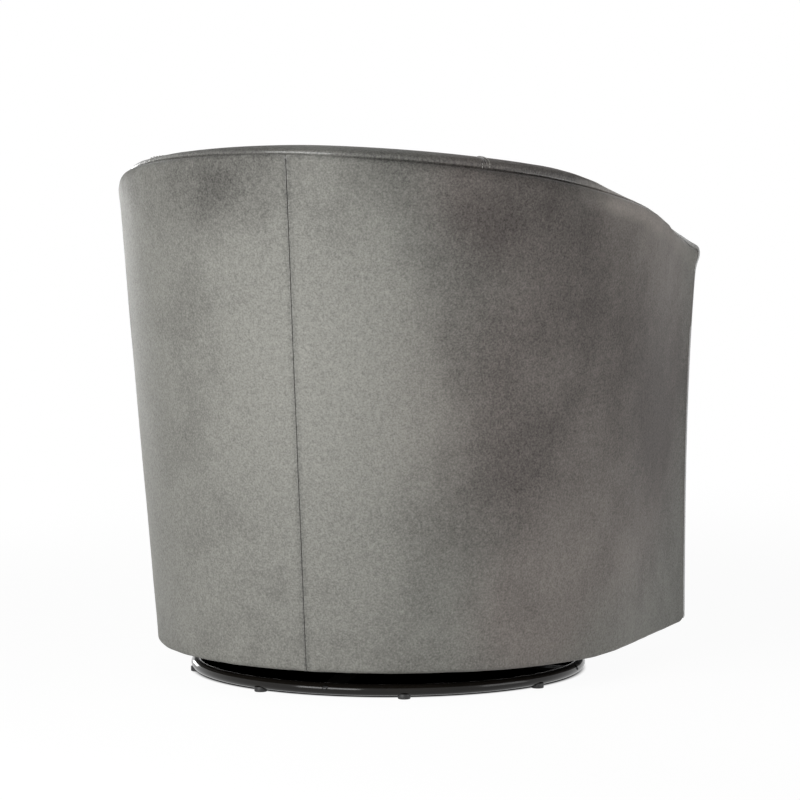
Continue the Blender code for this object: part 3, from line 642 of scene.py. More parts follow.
def new_group(
    name: str, inputs: dict[str, object], outputs: dict[str, str]
) -> tuple[Sketch, bpy.types.bpy_prop_collection]:
    """Starts a shader node group.

    Args:
        name: The group's name.
        inputs: Each input's name and default: a number, a colour, or None for a vector.
        outputs: Each output's name and kind, which is Float, Color or Vector.

    Returns:
        The group's sketch, and the sockets that bring its inputs.
    """
    tree = bpy.data.node_groups.new(name, "ShaderNodeTree")
    for title, default in inputs.items():
        kind = "Vector" if default is None else "Float" if isinstance(default, (int, float)) else "Color"
        socket = tree.interface.new_socket(name=title, in_out="INPUT", socket_type="NodeSocket" + kind)
        if default is not None:
            socket.default_value = default
    for title, kind in outputs.items():
        tree.interface.new_socket(name=title, in_out="OUTPUT", socket_type="NodeSocket" + kind)
    draw = Sketch(tree)
    return draw, tree.nodes.new("NodeGroupInput").outputs


def clouded_group() -> bpy.types.NodeTree:
    """A hide's cloudy colour: wide pale and dark patches, smaller ones in them, a fine speckle, and painted light
    and shade.
    """
    draw, given = new_group(
        "clouded hide",
        {
            "Vector": None,
            "Pale": (0.5,) * 3 + (1,),
            "Dark": (0.2,) * 3 + (1,),
            "Warm": WHITE,
            "Warmth": 0.0,
            "Pool": 0.0,
            "Lift": 0.0,
            "Speckle": 1.0,
            "Seam": 0.0,
        },
        {"Color": "Color", "Mask": "Float"},
    )
    wide = draw.noise(given["Vector"], 6.0, 2.0, 0.5)
    small = draw.noise(given["Vector"], 21.0, 3.0, 0.6)
    patches = draw.sum("ADD", draw.sum("MULTIPLY", wide, 0.6), draw.sum("MULTIPLY", small, 0.4))
    # Pool brings in painted light and shade, partly clouds in the dye.
    mask = draw.sum("SUBTRACT", draw.ramp(patches, 0.3, 0.62, 0.5, 0.95), given["Pool"])
    colour = draw.blend(mask, given["Dark"], given["Pale"])
    colour = draw.blend(given["Warmth"], colour, given["Warm"], "MULTIPLY")
    grit = draw.noise(given["Vector"], 370.0, 2.0, 0.6)
    flecks = draw.noise(given["Vector"], 130.0, 1.0, 0.5)
    both = draw.sum("ADD", draw.sum("MULTIPLY", grit, 0.8), draw.sum("MULTIPLY", flecks, 0.2))
    strength = draw.sum("MULTIPLY", given["Speckle"], draw.ramp(mask, 0.0, 1.0, 1.7, 1.0))
    # Lift brings in painted light and shade, and the painted sheen along the rim.
    lift = draw.sum("ADD", given["Lift"], draw.sum("MULTIPLY", draw.sum("SUBTRACT", both, 0.5), strength))
    # Painted shade: the colour is up to 30% darker towards the seams.
    factor = draw.sum("ADD", draw.sum("ADD", 1.0, lift), draw.sum("MULTIPLY", given["Seam"], -0.3))
    level = draw.add("ShaderNodeCombineColor", Red=factor, Green=factor, Blue=factor).outputs[0]
    return draw.close(Color=draw.blend(1.0, colour, level, "MULTIPLY"), Mask=mask)


def grain_group() -> bpy.types.NodeTree:
    """A fine leather grain: small rounded cells with creases between them, and faint wider wrinkles."""
    draw, given = new_group("leather grain", {"Vector": None, "Size": 0.0014}, {"Height": "Float"})
    wander = draw.add("ShaderNodeTexNoise", Vector=given["Vector"], Scale=380.0, Detail=1.0)
    bent = draw.vector("MULTIPLY_ADD", wander.outputs[1], (0.0012,) * 3, given["Vector"])[0]
    scale = draw.sum("DIVIDE", 1.0, given["Size"])
    cells = draw.add("ShaderNodeTexVoronoi", {"feature": "DISTANCE_TO_EDGE"}, Vector=bent, Scale=scale)
    domes = draw.ramp(cells.outputs[0], 0.0, 0.35, 0.0, 1.0)
    wrinkles = draw.noise(given["Vector"], 95.0, 3.0, 0.6)
    return draw.close(Height=draw.sum("ADD", draw.sum("MULTIPLY", domes, 0.6), wrinkles))


def streak_group() -> bpy.types.NodeTree:
    """Wood, fibre or brushed metal: noise drawn out along one axis, in a broad and a fine scale."""
    draw, given = new_group(
        "drawn streaks", {"Vector": None, "Stretch": None, "Scale": 40.0}, {"Broad": "Float", "Fine": "Float"}
    )
    drawn = draw.vector("MULTIPLY", given["Vector"], given["Stretch"])[0]
    return draw.close(Broad=draw.noise(drawn, 3.0, 4.0, 0.6), Fine=draw.noise(drawn, given["Scale"], 3.0, 0.7))


def rub_group() -> bpy.types.NodeTree:
    """Handling: a mask of soft rubbed patches with a fine scatter of specks."""
    draw, given = new_group("rubbed patches", {"Vector": None, "Amount": 0.5}, {"Mask": "Float"})
    soft = draw.noise(given["Vector"], 18.0, 3.0, 0.6)
    specks = draw.noise(given["Vector"], 420.0, 2.0, 0.6)
    mask = draw.sum("ADD", draw.ramp(soft, 0.45, 0.7, 0.0, 0.8), draw.ramp(specks, 0.62, 0.72, 0.0, 0.5))
    return draw.close(Mask=draw.sum("MULTIPLY", mask, given["Amount"]))


class Groups:
    """The shared shader groups, each built once."""

    clouded = clouded_group()
    grain = grain_group()
    streaks = streak_group()
    rubbed = rub_group()


Colour = tuple[float, float, float]


def opaque(colour: Colour) -> tuple[float, float, float, float]:
    """Returns a colour with full alpha."""
    return (*colour, 1.0)


class Surface(Sketch):
    """A material being drawn, with its Principled shader and its place coordinates."""

    def __init__(self, name: str) -> None:
        """Starts a material of that name."""
        self.material = bpy.data.materials.new(name)
        self.material.use_nodes = True
        super().__init__(self.material.node_tree)
        self.shader = self.add("ShaderNodeBsdfPrincipled")
        self.place = self.add("ShaderNodeTexCoord").outputs["Object"]
        self.add("ShaderNodeOutputMaterial", Surface=self.shader.outputs[0])

    def group(self, tree: bpy.types.NodeTree, **inputs) -> bpy.types.NodeGroup:
        """Places a shared group, with its inputs by name."""
        return self.add("ShaderNodeGroup", {"node_tree": tree}, **inputs)

    def rubbed(self, amount: float) -> bpy.types.NodeSocket:
        """Returns how far handling has rubbed a place."""
        return self.group(Groups.rubbed, Vector=self.place, Amount=amount).outputs["Mask"]

    def streaks(self, stretch: tuple[float, float, float], scale: float) -> bpy.types.bpy_prop_collection:
        """Returns the broad and the fine noise of streaks that are drawn out along one axis."""
        return self.group(Groups.streaks, Vector=self.place, Stretch=stretch, Scale=scale).outputs

    def finish(self, **inputs) -> None:
        """Gives the shader's sockets their values or links, by names with _ for spaces."""
        for key, value in inputs.items():
            self.set(self.shader.inputs[key.replace("_", " ")], value)

    def bump(self, height: bpy.types.NodeSocket, depth: float, strength: float = 1.0) -> None:
        """Raises the surface by a height, where 1 stands for depth in metres."""
        self.finish(Normal=self.add("ShaderNodeBump", Height=height, Distance=depth, Strength=strength).outputs[0])


@dataclass(frozen=True)
class Pool:
    """A wide soft patch painted into the leather's colour: its middle, its reach, and its strength there."""

    middle: tuple[float, float, float]
    reach: float
    strength: float


@dataclass(frozen=True)
class SheenStreak:
    """A straight pale streak of painted sheen: its ends, and how much paler it is."""

    start: tuple[float, float, float]
    end: tuple[float, float, float]
    lift: float


@dataclass(frozen=True)
class Leather:
    """Smooth corrected leather with a matt, cloudy dye, and light and shade painted into its colour."""

    name: str = "grey_leather"
    pale: Colour = (0.324, 0.321, 0.292)
    dark: Colour = (0.143, 0.139, 0.1275)
    warm: Colour = (1.045, 0.957, 0.967)
    # Patches where the colour is tinted warmer, the widest over the chair's right side.
    warm_pools: tuple[Pool, ...] = (
        Pool((-0.38, 0.00, 0.42), 0.46, 2.5),
        Pool((-0.27, 0.25, 0.72), 0.16, 1.5),
        Pool((-0.30, 0.17, 0.10), 0.16, 1.2),
        Pool((0.34, -0.14, 0.30), 0.34, 1.0),
    )
    # Painted light and shade: a pool darkens the colour where its strength is above 0 and lightens it below 0. Most
    # are shade over the chair's right side and light on the back and left edge; those on the far left side and the
    # front are clouds in the dye.
    pools: tuple[Pool, ...] = (
        Pool((-0.02, 0.33, 0.41), 0.28, -0.35),
        Pool((-0.32, 0.16, 0.53), 0.28, 0.50),
        Pool((-0.35, -0.23, 0.34), 0.28, 0.65),
        Pool((-0.24, 0.26, 0.67), 0.14, 0.55),
        Pool((-0.26, 0.20, 0.30), 0.20, 0.42),
        Pool((0.08, 0.35, 0.73), 0.14, 0.64),
        Pool((-0.37, -0.07, 0.43), 0.20, 0.53),
        Pool((-0.14, 0.33, 0.73), 0.10, 0.45),
        Pool((0.34, 0.02, 0.55), 0.22, 0.35),
        Pool((0.36, -0.24, 0.30), 0.26, 0.40),
        Pool((0.05, -0.36, 0.22), 0.24, 0.30),
        Pool((0.10, 0.22, 0.62), 0.20, 0.30),
        Pool((0.17, 0.32, 0.70), 0.12, 0.38),
        Pool((-0.24, 0.27, 0.69), 0.10, 0.24),
        Pool((-0.08, 0.32, 0.41), 0.12, -0.24),
        Pool((-0.38, 0.01, 0.65), 0.09, -0.34),
        Pool((0.23, 0.21, 0.13), 0.12, -0.22),
        Pool((-0.36, -0.13, 0.34), 0.14, 0.18),
        Pool((-0.01, 0.34, 0.50), 0.36, -0.35),
        Pool((0.08, 0.32, 0.41), 0.20, 0.30),
        Pool((0.28, 0.18, 0.28), 0.28, -0.36),
        Pool((0.29, 0.20, 0.60), 0.14, -0.55),
        Pool((-0.23, 0.25, 0.50), 0.14, 0.24),
        Pool((-0.33, 0.17, 0.70), 0.14, 0.30),
        Pool((-0.06, 0.31, 0.28), 0.20, -0.12),
        Pool((-0.36, -0.11, 0.39), 0.36, 0.15),
        Pool((0.27, 0.22, 0.46), 0.14, -0.34),
        Pool((0.00, 0.35, 0.60), 0.10, -0.30),
        Pool((-0.07, 0.32, 0.39), 0.20, -0.22),
        Pool((-0.32, 0.09, 0.19), 0.14, -0.17),
        Pool((-0.37, 0.05, 0.69), 0.07, -0.45),
        Pool((-0.36, 0.05, 0.63), 0.06, 0.14),
    )
    # Painted light and shade, added straight to the colour's brightness: lighter in the middle of the back, darker
    # in patches over the right side.
    painted_shading_lifts: tuple[Pool, ...] = (
        Pool((-0.05, 0.33, 0.45), 0.28, 0.15),
        Pool((-0.32, 0.19, 0.70), 0.14, -0.17),
        Pool((-0.22, 0.26, 0.46), 0.14, -0.14),
        Pool((-0.36, -0.12, 0.35), 0.36, -0.11),
        Pool((-0.20, 0.25, 0.23), 0.14, -0.12),
        Pool((-0.14, 0.33, 0.73), 0.14, -0.13),
        Pool((-0.37, 0.03, 0.628), 0.07, -0.16),
    )
    # Painted sheen: pale streaks along the right side just under the rim, from the back to the arm's front.
    painted_rim_sheen: tuple[SheenStreak, ...] = (
        SheenStreak((-0.350, 0.118, 0.697), (-0.364, 0.070, 0.687), 0.74),
        SheenStreak((-0.364, 0.070, 0.687), (-0.379, -0.010, 0.670), 0.82),
        SheenStreak((-0.379, -0.010, 0.670), (-0.382, -0.080, 0.648), 0.58),
        SheenStreak((-0.382, -0.080, 0.648), (-0.354, -0.340, 0.584), 0.34),
    )
    sheen_full: float = 0.012
    sheen_reach: float = 0.034
    speckle: float = 1.65
    grain: float = 0.0014
    depth: float = 0.00035
    rub: float = 0.5
    rough: tuple[float, float] = (0.64, 0.56)
    rub_polish: float = 0.08
    seam_polish: float = 0.34
    seam_wax: float = 0.8
    wax_rough: float = 0.14
    shine: float = 0.28

    def pooled(self, skin: Surface, pools: tuple[Pool, ...]) -> object:
        """Adds up some pools, and returns how strong they are at a place."""
        total = 0.0
        for pool in pools:
            gap = skin.vector("DISTANCE", skin.place, pool.middle)["Value"]
            one = skin.ramp(gap, 0.0, pool.reach, pool.strength, 0.0)
            total = skin.sum("ADD", total, one)
        return total

    def painted_sheen(self, skin: Surface) -> object:
        """Returns how much paler the painted sheen along the rim makes a place."""
        most = 0.0
        for streak in self.painted_rim_sheen:
            gap = skin.from_line(skin.place, Vector(streak.start), Vector(streak.end))
            one = skin.ramp(gap, self.sheen_full, self.sheen_reach, streak.lift, 0.0)
            most = skin.sum("MAXIMUM", most, one)
        return most

    def material(self) -> bpy.types.Material:
        """Draws the finish."""
        skin = Surface(self.name)
        seam = skin.add("ShaderNodeAttribute", {"attribute_name": "seam"}).outputs["Fac"]
        hide = skin.group(
            Groups.clouded,
            Vector=skin.place,
            Pale=opaque(self.pale),
            Dark=opaque(self.dark),
            Warm=opaque(self.warm),
            Warmth=self.pooled(skin, self.warm_pools),
            Pool=self.pooled(skin, self.pools),
            Lift=skin.sum("ADD", self.pooled(skin, self.painted_shading_lifts), self.painted_sheen(skin)),
            Speckle=self.speckle,
            Seam=seam,
        )
        grain = skin.group(Groups.grain, Vector=skin.place, Size=self.grain)
        rough = skin.ramp(hide.outputs["Mask"], 0.0, 1.0, *self.rough)
        rough = skin.sum("SUBTRACT", rough, skin.sum("MULTIPLY", skin.rubbed(self.rub), self.rub_polish))
        rough = skin.sum("SUBTRACT", rough, skin.ramp(seam, 0.3, 0.9, 0.0, self.seam_polish))
        waxed = skin.ramp(seam, 0.8, 1.0, 0.0, self.seam_wax)
        skin.finish(Base_Color=hide.outputs["Color"], Roughness=rough, Specular_IOR_Level=self.shine)
        skin.finish(Coat_Weight=waxed, Coat_Roughness=self.wax_rough)
        skin.bump(grain.outputs[0], self.depth)
        return skin.material


@dataclass(frozen=True)
class Thread:
    """Twisted polyester thread, waxed and a little lighter than the leather."""

    name: str = "stitching_thread"
    colour: Colour = (0.60, 0.59, 0.54)
    shade: float = 0.6
    rub: float = 0.6
    rough: float = 0.6
    relief: float = 0.0001

    def material(self) -> bpy.types.Material:
        """Draws the finish."""
        skin = Surface(self.name)
        ply = skin.add("ShaderNodeTexWave", Vector=skin.place, Scale=900.0, Distortion=0.6)
        dark = opaque(tuple(self.shade * value for value in self.colour))
        skin.finish(Base_Color=skin.blend(skin.rubbed(self.rub), opaque(self.colour), dark), Roughness=self.rough)
        skin.bump(ply.outputs[1], self.relief)
        return skin.material


@dataclass(frozen=True)
class Paint:
    """Baked gloss paint on steel, with orange peel and scuffs."""

    name: str = "bronze_gloss_paint"
    colour: Colour = (0.0085, 0.007, 0.0055)
    scuffed: Colour = (0.019, 0.016, 0.013)
    rub: float = 0.35
    rough: tuple[float, float] = (0.12, 0.32)
    shine: float = 0.28
    relief: float = 0.00003

    def material(self) -> bpy.types.Material:
        """Draws the finish."""
        skin = Surface(self.name)
        rub = skin.rubbed(self.rub)
        colour = skin.blend(rub, opaque(self.colour), opaque(self.scuffed))
        rough = skin.ramp(rub, 0.0, 1.0, *self.rough)
        skin.finish(Base_Color=colour, Roughness=rough, Specular_IOR_Level=self.shine)
        skin.bump(skin.noise(skin.place, 260.0, 2.0, 0.5), self.relief, 0.5)
        return skin.material


@dataclass(frozen=True)
class Steel:
    """Drawn or pressed steel without paint, with an oily film."""

    name: str = "bare_drawn_steel"
    bright: Colour = (0.52, 0.51, 0.49)
    dull: Colour = (0.30, 0.29, 0.27)
    rub: float = 0.7
    rough: tuple[float, float] = (0.26, 0.44)
    relief: float = 0.00005

    def material(self) -> bpy.types.Material:
        """Draws the finish."""
        skin = Surface(self.name)
        lines = skin.streaks((1.0, 1.0, 30.0), 60.0)["Fine"]
        colour = skin.blend(skin.rubbed(self.rub), opaque(self.bright), opaque(self.dull))
        skin.finish(Base_Color=colour, Roughness=skin.ramp(lines, 0.3, 0.7, *self.rough), Metallic=1.0)
        skin.bump(lines, self.relief, 0.5)
        return skin.material


@dataclass(frozen=True)
class Timber:
    """Plywood: a pale face veneer with darker grain, and plies at its edges."""

    name: str
    grain: Wood
    pale: Colour = (0.60, 0.43, 0.26)
    dark: Colour = (0.38, 0.23, 0.12)
    ply: float = 0.0026
    rough: tuple[float, float] = (0.62, 0.82)
    relief: float = 0.0003

    def material(self) -> bpy.types.Material:
        """Draws the finish."""
        skin = Surface(self.name)
        lines = skin.streaks(self.grain.value, 36.0)
        across = {"bands_direction": "Z"}
        plies = skin.add("ShaderNodeTexWave", across, Vector=skin.place, Scale=0.32 / self.ply)
        layered = skin.sum("MULTIPLY", plies.outputs[1], 0.25)
        share = skin.sum("ADD", skin.ramp(lines["Broad"], 0.35, 0.65, 0.0, 0.75), layered)
        colour = skin.blend(share, opaque(self.pale), opaque(self.dark))
        skin.finish(Base_Color=colour, Roughness=skin.ramp(lines["Fine"], 0.3, 0.7, *self.rough))
        skin.bump(lines["Fine"], self.relief, 0.6)
        return skin.material


@dataclass(frozen=True)
class Board:
    """Brown hardboard, pressed from short fibres."""

    name: str = "pressed_fibreboard"
    pale: Colour = (0.36, 0.25, 0.15)
    dark: Colour = (0.20, 0.13, 0.075)
    rub: float = 0.6
    rough: float = 0.85
    relief: float = 0.0003

    def material(self) -> bpy.types.Material:
        """Draws the finish."""
        skin = Surface(self.name)
        fibres = skin.streaks((1.0, 1.0, 3.0), 240.0)["Fine"]
        share = skin.sum("ADD", fibres, skin.sum("MULTIPLY", skin.rubbed(self.rub), 0.3))
        skin.finish(Base_Color=skin.blend(share, opaque(self.pale), opaque(self.dark)), Roughness=self.rough)
        skin.bump(fibres, self.relief, 0.7)
        return skin.material


@dataclass(frozen=True)
class Nylon:
    """Moulded black nylon, greyed where it slides on the floor."""

    name: str = "moulded_nylon"
    colour: Colour = (0.016, 0.016, 0.017)
    rubbed: Colour = (0.06, 0.06, 0.058)
    rub: float = 0.8
    rough: tuple[float, float] = (0.42, 0.6)
    relief: float = 0.00006

    def material(self) -> bpy.types.Material:
        """Draws the finish."""
        skin = Surface(self.name)
        spark = skin.noise(skin.place, 900.0, 2.0, 0.6)
        colour = skin.blend(skin.rubbed(self.rub), opaque(self.colour), opaque(self.rubbed))
        skin.finish(Base_Color=colour, Roughness=skin.ramp(spark, 0.3, 0.7, *self.rough))
        skin.bump(spark, self.relief, 0.6)
        return skin.material


@dataclass(frozen=True)
class Cloth:
    """Black non-woven cloth, bonded in small dimples, or a grey felt of the same make."""

    name: str
    colour: Colour
    dimple: float = 0.0022
    rough: float = 0.93
    sheen: float = 0.2
    relief: float = 0.0004

    def material(self) -> bpy.types.Material:
        """Draws the finish."""
        skin = Surface(self.name)
        dots = skin.add("ShaderNodeTexVoronoi", Vector=skin.place, Scale=1 / self.dimple, Randomness=0.25)
        fibres = skin.noise(skin.place, 700.0, 4.0, 0.75)
        pit = skin.ramp(dots.outputs[0], 0.15, 0.4, 0.0, 1.0)
        share = skin.sum("MULTIPLY", skin.sum("ADD", fibres, pit), 0.5)
        pale = opaque(tuple(min(1.0, 1.9 * value + 0.01) for value in self.colour))
        colour = skin.blend(share, opaque(self.colour), pale)
        skin.finish(Base_Color=colour, Roughness=self.rough, Sheen_Weight=self.sheen)
        skin.bump(skin.sum("ADD", skin.sum("MULTIPLY", fibres, 0.4), pit), self.relief)
        return skin.material


class Finishes:
    """The materials, each drawn once."""

    def __init__(self) -> None:
        """Draws them all."""
        self.leather = Leather().material()
        self.thread = Thread().material()
        self.paint = Paint().material()
        self.rivet = Paint("black_rivet_paint", (0.006, 0.006, 0.006), (0.02, 0.02, 0.02)).material()
        self.steel = Steel().material()
        self.nylon = Nylon().material()
        self.panel = Timber("plywood_panel", Wood.LEVEL).material()
        self.post = Timber("plywood_post", Wood.UPRIGHT).material()
        self.board = Board().material()
        self.felt = Cloth("deck_felt", (0.11, 0.11, 0.105)).material()
        self.dust = Cloth("dust_cover_cloth", (0.010, 0.010, 0.011)).material()


def fit_out(
    piece: bpy.types.Object,
    material: bpy.types.Material,
    body: str,
    replaces: Sequence[str] = (),
) -> bpy.types.Object:
    """Dresses a finished piece, hangs it on its body, and hides the nodes that it stands for.

    Args:
        piece: The piece, with its place in its mesh.
        material: Its finish.
        body: The body that carries it.
        replaces: The nodes that it stands for.

    Returns:
        The piece.
    """
    piece.data.materials.clear()
    piece.data.materials.append(material)
    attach(piece, body)
    if replaces:
        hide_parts(*replaces)
    LOG.info("%s: %d faces on %s", piece.name, len(piece.data.polygons), body)
    return piece


# The chair's leather


@dataclass
class OutsideCovers:
    """Two leather panels that meet down the middle of the back and turn in at the rim and the hem."""

    wall: WallForm
    hide: float = 0.0016
    hem: float = 0.006
    lip: float = 0.045
    rim_turn: float = 0.0017
    seam_turn: float = 0.0008
    tuck: float = 0.005
    rim_sink: float = 0.0004
    across: int = 150
    up: int = 88
    billow: float = 0.0014
    pucker: float = 0.0016
    rim_fold: tuple[float, float] = (0.012, 0.016)
    hem_fold: tuple[float, float] = (0.016, 0.014)
    hem_wander: float = 0.0006
    tuck_in: float = 0.0012
    calm_rim: float = 0.05
    calm_hem: float = 0.04
    seam_wave: tuple[float, float] = (0.45, 0.0061)
    seam_reach: float = 0.007

    def rows(self) -> list[Callable[[float], tuple[float, float]]]:
        """Lays out a panel's rows, from its lip under the chair to its edge in the top seam.

        Returns:
            For each row, a function of run that gives its inset and height.
        """
        wall, bottom, hem = self.wall, self.wall.bottom, self.hem
        rows = [lambda run, inset=inset: (inset, bottom) for inset in spread(self.lip, hem, 4)]
        rows += [lambda run, turned=(inset, bottom + rise): turned for inset, rise in quarter(hem, 7)[1:]]
        for share in spread(0.0, 1.0, self.up)[1:]:
            rows.append(
                lambda run, share=share: (0.0, mix(bottom + hem, wall.rim(run) - wall.shoulder_drop, share))
            )
        rows += [lambda run, angle=angle: self.roll(run, angle) for angle in spread(0.0, math.pi / 2, 12)[1:]]
        return rows + [lambda run, sink=sink: self.sunk(run, sink) for sink in (0.35, 1.0)]

    def roll(self, run: float, angle: float) -> tuple[float, float]:
        """Returns the inset and height of the rolled shoulder, from 0 at the face to a right angle at the rim."""
        wall = self.wall
        top = wall.rim(run) - self.rim_sink
        inset = (wall.shoulder(run) + self.rim_turn) * (1 - math.cos(angle))
        return inset, mix(wall.rim(run) - wall.shoulder_drop, top, math.sin(angle))

    def sunk(self, run: float, share: float) -> tuple[float, float]:
        """Returns the inset and height of the edge that is sewn in under the rim."""
        inset = self.wall.shoulder(run) + self.rim_turn + self.tuck_in * share
        return inset, self.wall.rim(run) - self.rim_sink - self.tuck * share

    def relief(self, place: Vector, run: float, height: float) -> float:
        """How far the leather stands out from the true wall.

        Args:
            place: The point on the true wall.
            run: Where it is along the wall.
            height: Its height.

        Returns:
            The distance outward.
        """
        below = max(0.0, self.wall.rim(run) - height)
        above = max(0.0, height - self.wall.bottom)
        broad = self.billow * ripple(place, 0.24, 3.0) + 0.4 * self.billow * ripple(place, 0.09, 8.0)
        gather = Vector((place.x, place.y, place.z * 0.35))
        drawn = self.pucker * bell(below, *self.rim_fold) * ripple(gather, 0.026, 5.0)
        hemmed = 0.5 * self.pucker * bell(above, *self.hem_fold) * ripple(gather, 0.03, 11.0)
        calm = ease(below / self.calm_rim) * ease(above / self.calm_hem)
        return broad * calm + drawn + hemmed + self.wall.puff(run, height)

    def drawn_in(self, at: Column, height: float) -> float:
        """Returns how deep the seam draws a column, which wavers down the middle of the back."""
        share, size = self.seam_wave
        return at.deep * (1.0 - share * abs(ripple(Vector((0.0, 0.0, height)), size, 9.0)) * (at.run == 0.0))

    def hem_shift(self, place: Vector, at: Column) -> Vector:
        """Gives the small wander of the hem's height, and its rise at the arm's front."""
        wall = self.wall
        gap = (1 - abs(at.run)) * wall.along(at.run, place.z).length + abs(at.beside) * (abs(at.run) == 1.0)
        flat = Vector((place.x, place.y, 0.0))
        wander = self.hem_wander * ripple(flat, 0.035, 17.0) * (1 - ease((place.z - wall.bottom) / 0.05))
        return Vector((0.0, 0.0, wander + wall.turned_up(gap, place.z)))

    def build(self, finishes: Finishes) -> None:
        """Builds both panels."""
        wall = self.wall
        rows = self.rows()
        edges = sewn_edge(self.seam_turn, self.tuck)
        for side in Side:
            low, high = (0.0, 1.0) if side is Side.LEFT else (-1.0, 0.0)
            columns = wall_columns(wall, low, high, self.across, edges)

            def place(column: int, row: int) -> Vector:
                """Places one point of the panel."""
                at = columns[column]
                inset, height = rows[row](at.run)
                inset += self.drawn_in(at, height)
                true = wall.point(at.run, height, inset, at.beside)
                out = self.relief(true, at.run, height)
                return wall.point(at.run, height, inset - out, at.beside) + self.hem_shift(true, at)

            def mark(column: int, row: int) -> float:
                """Says how near the seams one point is."""
                at = columns[column]
                _, height = rows[row](at.run)
                true = wall.point(at.run, height, 0.0, at.beside)
                ends = [wall.point(run, height, 0.0) for run in (low, high)]
                gap = min(wall.rim(at.run) - height, *((true - end).length for end in ends))
                return 1.0 - ease(gap / self.seam_reach)

            counts = (len(columns), len(rows))
            facing = wall.facing(low, high)
            piece = sewn_piece(f"outside_leather_{side.word}", counts, place, mark, facing, self.hide)
            fit_out(piece, finishes.leather, "chair", [f"outside_cover_{side.word}"])


@dataclass
class TopBand:
    """The padded band along the top of the wall, in three lengths, topstitched beside its two joins."""

    wall: WallForm
    hide: float = 0.0016
    turn: float = 0.0017
    tuck: float = 0.006
    seat: float = 0.0002
    arch_steps: int = 34
    steps_per_run: int = 150
    pucker: float = 0.0006
    stitch: float = 0.0031
    stitch_pitch: float = 0.0043
    stitch_radius: float = 0.0005
    stitch_offset: float = 0.0054
    sunk: float = 0.0035
    raised: float = 0.005
    sink_run: float = 0.4
    sink_fade: float = 0.2
    plump: float = 0.006
    plump_run: float = -0.53
    plump_reach: float = 0.13
    join_turn: float = 0.0018
    ledge: float = 0.0008
    fold: tuple[float, float] = (0.009, 0.009)

    def settled(self, run: float) -> float:
        """Returns how far the wadding has sunk on the sitter's left, or less than 0 where it stands higher."""
        level = self.sunk if run > 0 else self.raised
        plump = self.plump * ease(1 - abs(run - self.plump_run) / self.plump_reach)
        faded = ease((abs(run) - self.sink_run) / self.sink_fade)
        return level * run / self.sink_run * (1 - faded) - plump

    def across(self, run: float) -> list[tuple[float, float]]:
        """Gives the band's section at a run.

        Args:
            run: Where along the wall.

        Returns:
            Its insets and heights above the wall's top, from the outer seam over to the inner one.
        """
        outer, inner = self.wall.shoulder(run) + self.ledge, self.wall.band_width
        foot = self.seat + self.turn
        crown = max(foot, self.wall.crown(run) - self.settled(run))
        turned = quarter(self.turn, 4)
        points = [(outer + self.turn, self.seat - self.tuck), (outer + self.turn, self.seat)]
        points += [(outer + inset, self.seat + rise) for inset, rise in turned[1:]]
        for angle in spread(0.0, math.pi, self.arch_steps)[1:-1]:
            inset = mix(outer, inner, (1 - math.cos(angle)) / 2)
            points.append((inset, mix(foot, crown, math.sin(angle) ** self.wall.arch_power)))
        points += [(inner - inset, self.seat + rise) for inset, rise in reversed(turned)]
        return [*points, (inner - self.turn, self.seat - self.tuck)]

    def place(self, at: Column, row: int) -> Vector:
        """Places one point of a band."""
        inset, height = self.across(at.run)[row]
        top = self.wall.top(at.run, inset)
        outer = ease(1 - (inset - self.wall.shoulder(at.run)) / 0.03)
        puff = self.wall.puff(at.run, top) * outer
        true = self.wall.point(at.run, top + height, inset - puff, at.beside)
        lift = 0.5 * self.pucker * ripple(true, 0.11, 21.0)
        edge = min(inset - self.wall.shoulder(at.run), self.wall.band_width - inset)
        lift += self.pucker * bell(edge, *self.fold) * ripple(true, 0.024, 23.0)
        return true + Vector((0.0, 0.0, lift * (height > self.seat) - at.deep))

    def build(self, finishes: Finishes) -> None:
        """Builds the three lengths and the stitching."""
        wall = self.wall
        edges = sewn_edge(self.join_turn, self.tuck)
        for name, (low, high) in zip(("back", "left", "right"), wall.lengths()):
            columns = wall_columns(wall, low, high, round(self.steps_per_run * (high - low)), edges)

            def place(column: int, row: int) -> Vector:
                """Places one point of this length."""
                return self.place(columns[column], row)

            def mark(column: int, row: int) -> float:
                """Says how near the seams one point is."""
                at = columns[column]
                inset, _ = self.across(at.run)[row]
                side = min(inset - wall.shoulder(at.run), wall.band_width - inset)
                return 1.0 - ease(min(side, at.from_end()) / SEAM_REACH)

            counts = (len(columns), len(self.across(0.0)))
            piece = sewn_piece(f"top_band_leather_{name}", counts, place, mark, Vector((0, 0, 1)), self.hide)
            fit_out(piece, finishes.leather, "chair", [f"top_band_{name}"])
        for side in Side:
            self.sew(side, finishes)

    def sew(self, side: Side, finishes: Finishes) -> None:
        """Lays the two rows of stitches beside one join."""
        run = side.value * self.wall.join_run
        places = []
        rows = range(2, len(self.across(run)) - 2)
        for beside in (-self.stitch_offset, self.stitch_offset):
            line = [self.place(Column(run, beside), row) for row in rows]
            places += stitch_places(line, self.stitch_pitch, 0.5 * self.stitch_radius)
        stitch = capsule("stitch", self.stitch_radius, self.stitch)
        piece = repeat_along(stitch, places, f"band_stitching_{side.word}")
        fit_out(piece, finishes.thread, "chair")


